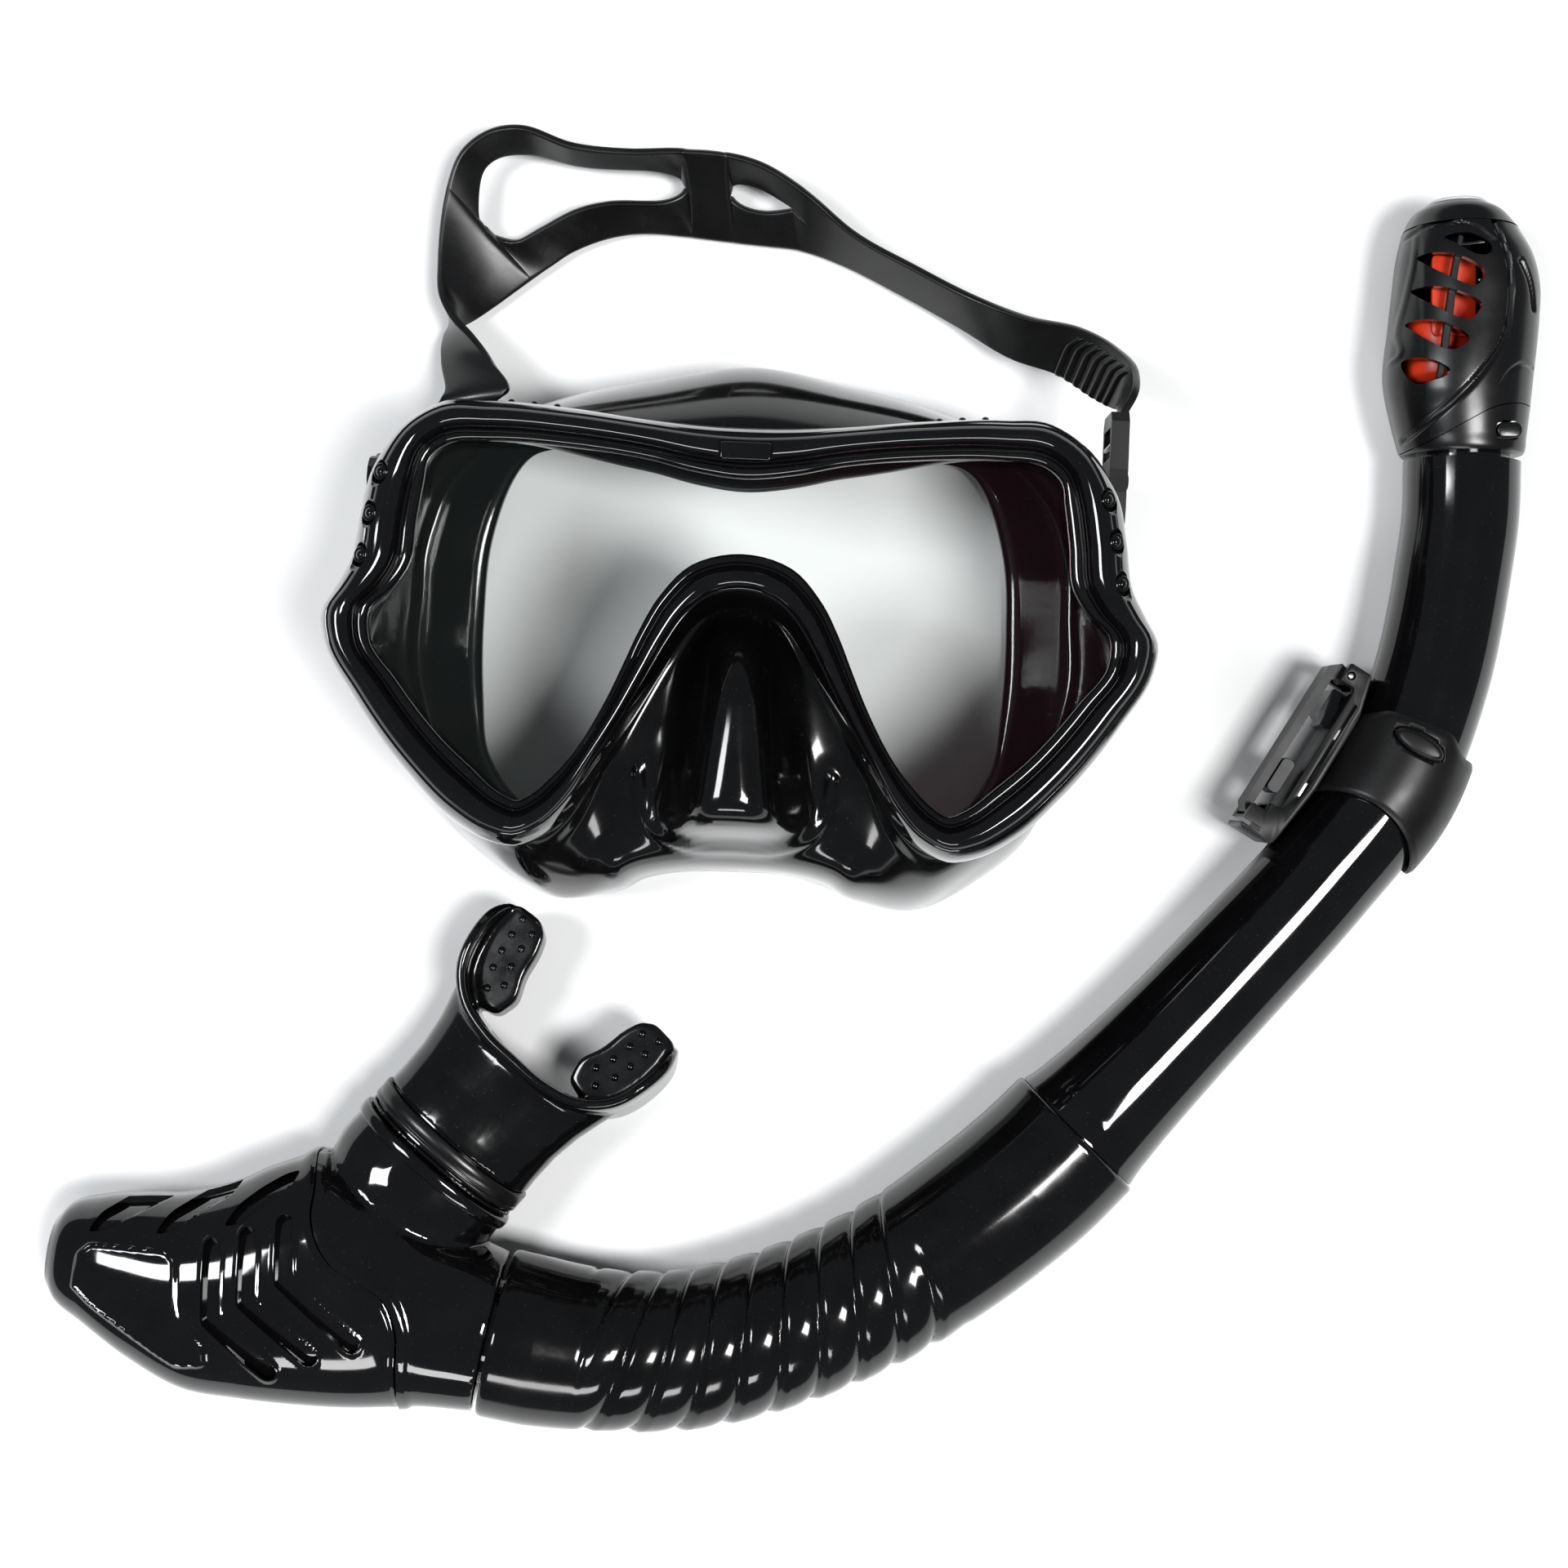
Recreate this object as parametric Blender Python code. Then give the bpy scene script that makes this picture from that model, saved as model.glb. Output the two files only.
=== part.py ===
"""Snorkel mask set: a single-window diving mask with its split strap, and a dry-top snorkel beside it.

The set lies on a table, lens up. Z = 0 is the table, +X runs along the set's long side, +Y points from
the snorkel's mouthpiece chamber to the mask's strap. Lengths below are in millimetres; MM turns them
into metres when a mesh is made.
"""

import math

import bmesh
import bpy
import numpy as np
from mathutils import Vector

MM = 0.001

# ---------------------------------------------------------------- driving dimensions
MASK_PLACE = (-11.6, 29.8, 0.0)      # the mask's own centre on the table
MASK_TURN = math.radians(-2.2)       # the mask lies turned a little clockwise
SNORKEL_PLACE = (-2.4, -2.1, 0.0)    # the snorkel's own datum on the table

RIM_SAMPLES = 34                     # samples along half of the mask's rim
LENS_Z = (64.0, 68.1)                # back and front of the glass
FLANGE_Z = 62.9                      # middle of the skirt's clamped flange
NECK_Z = 54.8                        # where the skirt turns outward under the retaining ring
SKIRT_WALL = 1.4
STRAP_WALL = 1.8

PIVOT = (30.0, 45.5)                 # y and z of the buckle pivots, in the mask's frame
BUCKLE_X = (77.0, 80.9)              # inner and outer face of a buckle
TONGUE_X = 79.7                      # middle of the strap where it passes through a buckle
HOSE_SIDES = 14
TUBE_SIDES = 16

# The rim's half outline, from the top centre round the temple and cheek to the nose arch.
# Each row is a point on the outer edge and the point on the lens side that faces it.
RIM = [
    ((0.0, 42.4), (0.0, 30.3)),
    ((10.0, 42.6), (10.0, 32.0)),
    ((20.0, 43.3), (19.5, 34.0)),
    ((36.5, 45.0), (36.0, 36.0)),
    ((53.5, 46.0), (52.0, 36.6)),
    ((63.5, 45.4), (61.0, 35.8)),
    ((71.0, 40.8), (64.8, 33.0)),
    ((77.5, 31.5), (66.0, 27.5)),
    ((80.0, 21.0), (67.2, 19.5)),
    ((81.6, 11.5), (68.4, 10.5)),
    ((84.4, 6.0), (71.6, 5.6)),
    ((87.3, 0.2), (76.0, 1.4)),
    ((86.4, -6.0), (76.2, -4.2)),
    ((80.0, -17.0), (70.4, -12.8)),
    ((68.5, -32.0), (60.5, -24.8)),
    ((58.8, -41.4), (53.6, -31.0)),
    ((50.6, -45.8), (48.6, -35.2)),
    ((44.8, -46.6), (44.6, -37.0)),
    ((38.4, -43.8), (41.2, -35.4)),
    ((32.8, -38.0), (37.0, -31.4)),
    ((27.6, -28.8), (32.4, -25.6)),
    ((21.6, -19.0), (27.0, -15.8)),
    ((16.8, -10.6), (23.4, -7.6)),
    ((13.0, -4.0), (20.4, -0.6)),
    ((9.6, 0.8), (16.8, 6.0)),
    ((5.4, 4.0), (10.6, 12.6)),
    ((0.0, 5.2), (0.0, 15.4)),
]
# The skirt's widest line and the inner edge of its face seal, by row of RIM.
SEAL_EDGE = [
    (0, (0.0, 61.0, 18.0)),
    (2, (20.0, 58.0, 17.0)),
    (3, (38.0, 54.5, 13.0)),
    (4, (54.0, 48.4, 8.0)),
    (5, (64.0, 42.6, 4.0)),
    (6, (71.0, 35.0, 2.0)),
    (7, (75.0, 25.0, 1.0)),
    (9, (77.0, 8.0, 0.0)),
    (11, (77.5, -6.0, 0.0)),
    (13, (71.0, -29.0, 0.0)),
    (15, (58.0, -49.5, 2.0)),
    (17, (42.0, -58.6, 6.0)),
    (19, (29.0, -57.4, 10.0)),
    (21, (20.0, -53.4, 13.0)),
    (24, (9.0, -51.4, 16.0)),
    (26, (0.0, -51.2, 17.0)),
]
FACE_EDGE = [
    (0, (0.0, 36.0, 14.0)),
    (2, (22.0, 40.0, 13.0)),
    (3, (40.0, 42.4, 10.0)),
    (5, (53.5, 36.6, 6.0)),
    (7, (58.2, 22.4, 4.0)),
    (9, (59.6, 4.0, 3.0)),
    (12, (59.2, -13.0, 3.0)),
    (14, (57.0, -28.0, 4.0)),
    (16, (50.0, -37.0, 6.0)),
    (18, (42.0, -42.0, 8.0)),
    (21, (26.0, -43.5, 11.0)),
    (24, (11.0, -42.6, 13.0)),
    (26, (0.0, -42.4, 14.0)),
]
# The bezel's section: how far across the rim (0 at the lens, 1 outside) and the height.
BEZEL_SECTION = [
    (0.00, 68.4), (0.00, 70.4), (0.12, 71.4), (0.22, 71.2), (0.32, 73.2), (0.46, 74.3),
    (0.62, 73.9), (0.80, 71.2), (0.94, 66.4), (1.00, 62.0), (1.00, 58.0), (0.88, 58.0),
    (0.88, 64.1), (0.68, 64.1), (0.68, 68.4),
]
RING_SECTION = [(0.44, 56.0), (0.44, 61.8), (0.84, 61.8), (0.84, 56.0)]
LENS_EDGE = 0.62

# Three recessed rivets on each temple, by their y, and the way their holes lean outward.
RIVET_Y = (29.3, 20.8, 12.2)
RIVET_X = (75.2, 77.2, 78.8)
RIVET_LEAN = math.radians(35.0)

# The strap from the left buckle to the right one, in the mask's frame. A row holds the upper edge,
# the two sides of the opening between the strands (None where the band is whole) and the lower edge.
STRAP = [
    ((-TONGUE_X, 25.2, 34.0), None, None, (-TONGUE_X, 34.8, 34.0)),
    ((-TONGUE_X, 25.2, 27.6), None, None, (-TONGUE_X, 34.6, 27.6)),
    ((-TONGUE_X, 26.2, 21.6), None, None, (-79.5, 35.0, 23.6)),
    ((-78.8, 32.4, 14.0), None, None, (-78.2, 38.4, 21.0)),
    ((-72.5, 44.2, 12.5), None, None, (-72.5, 44.2, 22.0)),
    ((-60.6, 49.4, 18.0), None, None, (-66.4, 51.4, 22.0)),
    ((-50.5, 52.4, 24.0), None, None, (-62.0, 52.8, 20.5)),
    ((-58.6, 62.0, 19.0), None, None, (-70.0, 61.6, 12.0)),
    ((-65.2, 67.4, 17.0), None, None, (-71.2, 67.0, 7.5)),
    ((-69.4, 71.2, 14.0), None, None, (-69.4, 71.0, 3.0)),
    ((-72.0, 76.6, 13.0), None, None, (-64.6, 75.4, 2.6)),
    ((-72.9, 85.0, 12.0), None, None, (-60.6, 77.6, 2.6)),
    ((-72.8, 92.8, 12.0), None, None, (-56.6, 80.0, 2.6)),
    ((-71.6, 101.4, 12.6), (-66.4, 98.6, 9.4), (-61.8, 90.2, 5.4), (-52.4, 82.8, 2.6)),
    ((-68.6, 109.0, 14.0), (-64.4, 105.8, 8.4), (-56.4, 90.8, 6.6), (-48.0, 86.2, 2.6)),
    ((-62.6, 113.8, 15.0), (-60.4, 109.8, 8.0), (-50.4, 94.0, 7.6), (-43.4, 89.6, 2.6)),
    ((-54.8, 115.0, 16.0), (-53.0, 110.8, 8.0), (-43.2, 98.0, 8.4), (-37.4, 92.4, 2.6)),
    ((-43.6, 111.4, 16.0), (-42.2, 108.8, 8.0), (-35.4, 100.2, 8.8), (-31.0, 94.2, 2.6)),
    ((-30.4, 110.4, 16.0), (-30.4, 108.4, 8.0), (-26.6, 100.6, 9.0), (-24.0, 94.8, 2.6)),
    ((-17.8, 111.2, 16.0), (-17.4, 108.8, 8.0), (-17.2, 100.8, 9.0), (-15.6, 94.2, 2.6)),
    ((-8.4, 110.8, 16.0), (-8.4, 107.6, 8.4), (-6.0, 99.4, 9.0), (-6.2, 93.4, 2.6)),
    ((0.4, 108.6, 15.6), (-0.2, 104.8, 9.0), (1.4, 99.4, 9.0), (1.6, 92.9, 2.6)),
    ((9.6, 103.6, 14.6), (7.6, 101.0, 9.8), (7.4, 99.8, 8.8), (9.4, 92.2, 2.6)),
    ((21.0, 94.8, 13.0), None, None, (19.4, 89.4, 2.6)),
    ((35.6, 87.0, 14.0), None, None, (33.2, 83.0, 3.0)),
    ((49.0, 80.4, 16.0), None, None, (46.4, 75.8, 5.0)),
    ((61.2, 75.4, 21.0), None, None, (58.2, 67.6, 12.0)),
    ((72.0, 72.2, 28.0), None, None, (69.0, 62.6, 20.0)),
    ((79.4, 67.0, 35.0), None, None, (75.6, 56.6, 28.5)),
    ((83.0, 60.6, 43.0), None, None, (79.6, 53.0, 36.4)),
    ((82.0, 54.4, 49.2), None, None, (80.2, 52.2, 40.7)),
    ((TONGUE_X + 0.2, 50.4, 50.3), None, None, (TONGUE_X, 49.6, 40.7)),
    ((TONGUE_X, 42.4, 50.3), None, None, (TONGUE_X, 42.4, 40.7)),
]

# The snorkel's centre line from the chamber's end to the dry top, with its height over the table.
JOINT_CHAMBER = (-65.2, -123.2, 19.3)
HOSE_ROUTE = [
    JOINT_CHAMBER, (-60.3, -124.35, 19.2), (-55.0, -125.5, 19.0), (-44.4, -127.1, 18.6), (-22.2, -127.4, 18.3),
    (0.6, -121.9, 18.2), (22.7, -112.1, 18.2), (44.4, -97.6, 18.1), (57.0, -87.4, 17.6),
    (66.1, -78.5, 17.4),
]
BARREL_ROUTE = [
    (53.6, -90.2, 17.7), (57.0, -87.4, 17.6), (66.1, -78.5, 17.4), (79.9, -64.6, 17.0), (100.6, -42.9, 16.8),
    (121.0, -20.6, 16.7), (136.0, -1.6, 16.6), (145.9, 22.6, 16.4), (151.3, 48.1, 16.2), (153.0, 60.5, 16.2),
    (153.4, 72.8, 16.2),
]
BARREL_WALL = 1.5
RIDGES = 9

BRANCH_ORIGIN = (-72.3, -78.0, 18.0)     # middle of the mouthpiece's collar line
BRANCH_AXIS = Vector((0.657, 0.754, 0.0)).normalized()
SEAT_CENTRE = (-95.8, -110.8, 19.3)      # middle of the purge valve's seat
SEAT_ANGLE = math.radians(15.9)
# The seam between the purge cover and the chamber, seen from above.
SEAM = [
    (-104.4, -79.0), (-103.2, -88.7), (-103.6, -94.6), (-102.4, -99.6), (-99.0, -105.0), (-92.6, -109.0),
    (-87.4, -113.0), (-85.0, -119.0), (-85.3, -129.0), (-86.2, -144.0),
]
KEEPER_CENTRE = (136.2, -2.0, 16.6)
KEEPER_ANGLE = math.radians(57.8)
DRY_Z = 16.2                             # the dry top's axis over the table


# ---------------------------------------------------------------- small maths
def smooth_curve(keys, points):
    """A curve through points at increasing keys, returned as a function of the key."""
    keys = np.asarray(keys, float)
    points = np.asarray(points, float)
    spans = np.diff(keys)
    slopes = np.diff(points, axis=0) / spans[:, None]
    tangents = np.empty_like(points)
    tangents[0] = slopes[0]
    tangents[-1] = slopes[-1]
    for i in range(1, len(keys) - 1):
        before, after = spans[i - 1], spans[i]
        tangents[i] = (slopes[i - 1] * after + slopes[i] * before) / (before + after)

    def at(key):
        i = int(np.clip(np.searchsorted(keys, key, side="right") - 1, 0, len(spans) - 1))
        t = (key - keys[i]) / spans[i]
        h = spans[i]
        return (
            points[i] * (2 * t**3 - 3 * t**2 + 1)
            + tangents[i] * h * (t**3 - 2 * t**2 + t)
            + points[i + 1] * (3 * t**2 - 2 * t**3)
            + tangents[i + 1] * h * (t**3 - t**2)
        )

    return at


def lengths_along(points):
    points = np.asarray(points, float)
    steps = np.linalg.norm(np.diff(points, axis=0), axis=1)
    return np.concatenate([[0.0], np.cumsum(steps)])


def route_curve(points):
    """A smooth curve through a route, keyed by length, and that length."""
    keys = lengths_along(points)
    return smooth_curve(keys, points), keys[-1]


def smoothstep(low, high, value):
    t = min(max((value - low) / (high - low), 0.0), 1.0)
    return t * t * (3 - 2 * t)


def oval_ring(centre, side, up, half_side, half_up, sides, power=2.0):
    """A closed ring in the plane of side and up; power over 2 squares it off."""
    ring = []
    for i in range(sides):
        a = 2 * math.pi * i / sides
        c, s = math.cos(a), math.sin(a)
        u = math.copysign(abs(c) ** (2 / power), c)
        v = math.copysign(abs(s) ** (2 / power), s)
        ring.append(Vector(centre) + Vector(side) * (u * half_side) + Vector(up) * (v * half_up))
    return ring


def flat_frame(origin, angle):
    """A frame lying on the table: along the given heading, to its left, and up."""
    along = Vector((math.cos(angle), math.sin(angle), 0.0))
    left = Vector((-math.sin(angle), math.cos(angle), 0.0))
    up = Vector((0.0, 0.0, 1.0))
    base = Vector(origin)

    def place(a, b, c):
        return base + along * a + left * b + up * c

    return place


# ---------------------------------------------------------------- making objects
def clear_scene():
    for item in list(bpy.data.objects):
        bpy.data.objects.remove(item, do_unlink=True)


def material(name, colour, roughness, metallic=0.0, alpha=1.0):
    made = bpy.data.materials.new(name)
    made.use_nodes = True
    shader = made.node_tree.nodes["Principled BSDF"]
    shader.inputs["Base Color"].default_value = (*colour, 1.0)
    shader.inputs["Roughness"].default_value = roughness
    shader.inputs["Metallic"].default_value = metallic
    shader.inputs["Alpha"].default_value = alpha
    made.diffuse_color = (*colour, alpha)
    return made


def empty(name, place, turn=0.0):
    made = bpy.data.objects.new(name, None)
    made.location = Vector(place) * MM
    made.rotation_euler = (0.0, 0.0, turn)
    bpy.context.collection.objects.link(made)
    return made


def solid(name, points, faces, look, parent, pivot=(0.0, 0.0, 0.0)):
    """A closed mesh object whose origin is pivot, a place in its parent's frame."""
    base = Vector(pivot)
    mesh = bpy.data.meshes.new(name)
    mesh.from_pydata([(Vector(p) - base) * MM for p in points], [], faces)
    work = bmesh.new()
    work.from_mesh(mesh)
    bmesh.ops.recalc_face_normals(work, faces=work.faces)
    work.to_mesh(mesh)
    work.free()
    mesh.shade_smooth()
    mesh.set_sharp_from_angle(angle=math.radians(35))
    made = bpy.data.objects.new(name, mesh)
    made.location = base * MM
    made.parent = parent
    bpy.context.collection.objects.link(made)
    if look is not None:
        mesh.materials.append(look)
    return made


def loft(rings, looped=False):
    """Points and faces through rings of equal length, capped at both ends unless looped."""
    count = len(rings[0])
    points = [p for ring in rings for p in ring]
    faces = []
    last = len(rings) if looped else len(rings) - 1
    for i in range(last):
        a = i * count
        b = ((i + 1) % len(rings)) * count
        for j in range(count):
            k = (j + 1) % count
            faces.append((a + j, a + k, b + k, b + j))
    if not looped:
        faces.append(tuple(range(count)))
        faces.append(tuple(range((len(rings) - 1) * count, len(rings) * count)))
    return points, faces


def hollow_loft(outer, inner):
    """A wall between two lofts that share their ends, open at both ends."""
    return loft(outer + inner[::-1], looped=True)


def prism(place, outline, low, high):
    """An outline in a frame's first two directions, pulled from low to high along its third."""
    return loft([[place(a, b, low) for a, b in outline], [place(a, b, high) for a, b in outline]])


def block(place, a, b, c):
    """A plain block between the given pairs of distances in a frame."""
    return prism(place, [(a[0], b[0]), (a[1], b[0]), (a[1], b[1]), (a[0], b[1])], c[0], c[1])


def rounded_outline(a, b, radius, steps=3):
    """A rectangle's outline with round corners."""
    outline = []
    corners = (
        (a[1] - radius, b[1] - radius, 0.0), (a[0] + radius, b[1] - radius, 0.5),
        (a[0] + radius, b[0] + radius, 1.0), (a[1] - radius, b[0] + radius, 1.5),
    )
    for x, y, start in corners:
        for i in range(steps + 1):
            angle = math.pi * (start + 0.5 * i / steps)
            outline.append((x + radius * math.cos(angle), y + radius * math.sin(angle)))
    return outline


def turned(start, along, profile, sides):
    """A solid of revolution: profile holds distances along the axis and radii."""
    along = Vector(along).normalized()
    side = along.orthogonal().normalized()
    up = along.cross(side)
    return loft([oval_ring(Vector(start) + along * d, side, up, r, r, sides) for d, r in profile])


def hide_guide(guide):
    guide.hide_render = True
    guide.display_type = "WIRE"


def cut(target, guide):
    hide_guide(guide)
    step = target.modifiers.new("cut_" + guide.name, "BOOLEAN")
    step.operation = "DIFFERENCE"
    step.object = guide


def join(target, guide):
    hide_guide(guide)
    step = target.modifiers.new("join_" + guide.name, "BOOLEAN")
    step.operation = "UNION"
    step.object = guide


# ---------------------------------------------------------------- the mask's rim
def mirrored_rows(rows):
    """A half outline with one mirrored row past each end, so that the curve crosses the middle level."""
    def flip(row):
        return (-row[0], *row[1:])

    return [flip(rows[1]), *rows, flip(rows[-2])]


RIM_KEYS = lengths_along([((o[0] + i[0]) / 2, (o[1] + i[1]) / 2) for o, i in RIM])
RIM_LENGTH = RIM_KEYS[-1]


def half_curve(rows, points):
    """A half outline keyed by length along the rim; rows are places in RIM."""
    keys = [RIM_KEYS[r] for r in rows]
    keys = [-keys[1], *keys, 2 * RIM_LENGTH - keys[-2]]
    return smooth_curve(keys, mirrored_rows(points))


ALL_ROWS = range(len(RIM))
OUTER_EDGE = half_curve(ALL_ROWS, [o for o, _ in RIM])
LENS_SIDE = half_curve(ALL_ROWS, [i for _, i in RIM])
SEAL_LINE = half_curve([r for r, _ in SEAL_EDGE], [p for _, p in SEAL_EDGE])
FACE_LINE = half_curve([r for r, _ in FACE_EDGE], [p for _, p in FACE_EDGE])


def rim_stations():
    """Key and side of every sample round the rim, clockwise from the top centre."""
    keys = [RIM_LENGTH * i / RIM_SAMPLES for i in range(RIM_SAMPLES + 1)]
    right = [(k, 1) for k in keys]
    left = [(k, -1) for k in keys[-2:0:-1]]
    return right + left


def rim_point(key, side, across, height):
    x, y = LENS_SIDE(key) * (1 - across) + OUTER_EDGE(key) * across
    return (x * side, y, height)


def rim_sweep(section):
    """A section carried round the rim: a closed ring of material."""
    rings = [[rim_point(k, s, t, z) for t, z in section] for k, s in rim_stations()]
    return loft(rings, looped=True)


# ---------------------------------------------------------------- the skirt
def nose_weight(key):
    """0 where the skirt meets the face, 1 where it forms the nose pocket."""
    return smoothstep(RIM_KEYS[17], RIM_KEYS[20], key)


def pocket_height(x, y, seal_z, distance):
    """Height of the nose pocket's middle surface, from its lip up over the wells and the ridge."""
    rise = min(distance / 7.0, 1.0)
    wall = seal_z + 3.0 + (47.0 - seal_z - 3.0) * math.sqrt(1 - (1 - rise) ** 2)
    floor = wall + 6.0 * smoothstep(8.0, 30.0, distance)
    half_width = 4.6 + 6.6 * min(max((2.0 - y) / 42.0, 0.0), 1.0)
    ridge = 1.0 / (1.0 + (abs(x) / half_width) ** 6)
    crest = 66.0 + 9.5 * smoothstep(4.0, -14.0, y) if y < 4.0 else 66.0
    end = smoothstep(7.0, 11.5, distance)
    start = smoothstep(4.6, -3.0, y) if y < 4.6 else 0.0
    return floor + (crest - floor) * ridge * end * start


def skirt_profile(key, side):
    """The skirt's middle surface at one station: flange, neck, wall, lip and face seal."""
    across = (0.80, 0.30, 0.24, 0.24)
    heights = (FLANGE_Z, FLANGE_Z, FLANGE_Z - 0.8, NECK_Z)
    profile = [Vector(rim_point(key, 1, t, z)) for t, z in zip(across, heights)]
    neck = profile[-1]
    seal = Vector(SEAL_LINE(key))
    face = Vector(FACE_LINE(key))
    edge = Vector((*OUTER_EDGE(key), 0.0))
    reach = (Vector((seal.x, seal.y)) - Vector((neck.x, neck.y))).length
    nose = nose_weight(key)
    for step in (0.16, 0.34, 0.46, 0.58, 0.70, 0.82, 0.92, 1.0):
        ease = 0.45 * step + 0.55 * math.sin(step * math.pi / 2)
        out = ease * (1 - nose) + step * nose
        x = neck.x + (seal.x - neck.x) * out
        y = neck.y + (seal.y - neck.y) * out
        drop = 1 - math.cos(step * math.pi / 2)
        face_z = NECK_Z + (seal.z + 3.0 - NECK_Z) * drop
        past = (Vector((x, y)) - Vector((neck.x, neck.y))).length
        rim_reach = (Vector((edge.x, edge.y)) - Vector((neck.x, neck.y))).length
        clear = smoothstep(rim_reach + 0.2, rim_reach + 3.0, past)
        pocket = pocket_height(x, y, seal.z, reach * (1 - out))
        nose_z = NECK_Z * (1 - clear) + pocket * clear
        if step < 0.3:
            nose_z = NECK_Z
        profile.append(Vector((x, y, face_z * (1 - nose) + nose_z * nose)))
    inward = face - seal
    profile.append(seal + inward * 0.12 + Vector((0, 0, 0.9 - inward.z * 0.12)))
    profile.append(seal + inward * 0.5 + Vector((0, 0, 1.3)))
    profile.append(face + Vector((0, 0, 1.5)))
    return [(p.x * side, p.y, p.z) for p in profile]


def make_skirt(looks, mask):
    """The silicone skirt: one thin shell from the lens flange to the face seal, nose pocket included."""
    columns = [skirt_profile(k, s) for k, s in rim_stations()]
    rows = len(columns[0])
    points = [p for column in columns for p in column]
    faces = []
    for i in range(len(columns)):
        a = i * rows
        b = ((i + 1) % len(columns)) * rows
        faces += [(a + j, b + j, b + j + 1, a + j + 1) for j in range(rows - 1)]
    skirt = solid("skirt", points, faces, looks["silicone"], mask)
    wall = skirt.modifiers.new("wall", "SOLIDIFY")
    wall.thickness = SKIRT_WALL * MM
    wall.offset = 0.0
    wall.use_even_offset = True


def make_rim(looks, mask):
    bezel = solid("front_bezel", *rim_sweep(BEZEL_SECTION), looks["gloss"], mask)
    solid("retaining_ring", *rim_sweep(RING_SECTION), looks["gloss"], mask)
    stations = rim_stations()
    plates = [[rim_point(k, s, LENS_EDGE, z) for k, s in stations] for z in LENS_Z]
    solid("lens", *loft(plates), looks["glass"], mask)
    middle = flat_frame((0.0, 36.0, 0.0), 0.0)
    recess = solid("latch_recess", *block(middle, (-5.6, 5.6), (-2.2, 2.2), (73.0, 78.0)), None, mask)
    cut(bezel, recess)
    tab_outline = rounded_outline((-5.2, 5.2), (-1.8, 1.8), 0.8, 2)
    solid("top_latch_tab", *prism(middle, tab_outline, 73.4, 74.9), looks["gloss"], mask)
    for side, word in ((-1, "left"), (1, "right")):
        for i, (x, y) in enumerate(zip(RIVET_X, RIVET_Y), 1):
            make_temple_rivet(f"{word}_{i}", side, x, y, bezel, looks, mask)


def make_temple_rivet(label, side, x, y, bezel, looks, mask):
    """A leaning round recess in the bezel's temple and the rivet that sits in it."""
    key = min(np.linspace(RIM_KEYS[6], RIM_KEYS[10], 60), key=lambda k: abs(OUTER_EDGE(k)[1] - y))
    inner_x, outer_x = LENS_SIDE(key)[0], OUTER_EDGE(key)[0]
    across = (x - inner_x) / (outer_x - inner_x)
    top = np.interp(across, [0.62, 0.80, 0.94], [73.9, 71.2, 66.4])
    lean = Vector((math.sin(RIVET_LEAN) * side, 0.0, math.cos(RIVET_LEAN)))
    mouth = Vector((x * side, y, top))
    hole = solid("rivet_hole_" + label, *turned(mouth, lean, [(-1.9, 2.4), (6.0, 2.4)], 12), None, mask)
    cut(bezel, hole)
    profile = [(-1.6, 1.9), (-0.7, 1.9), (-0.2, 1.1)]
    solid("temple_rivet_" + label, *turned(mouth, lean, profile, 10), looks["gloss"], mask)


# ---------------------------------------------------------------- buckles and strap
def buckle_frame(side, heading):
    """Frame at a buckle's pivot: along the strap, across it, and outward from the mask."""
    base = Vector((0.0, PIVOT[0], PIVOT[1]))
    along = Vector((0.0, math.cos(heading), math.sin(heading)))
    across = Vector((0.0, -math.sin(heading), math.cos(heading)))

    def place(a, b, x):
        return base + along * a + across * b + Vector((side * x, 0.0, 0.0))

    return place


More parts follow.
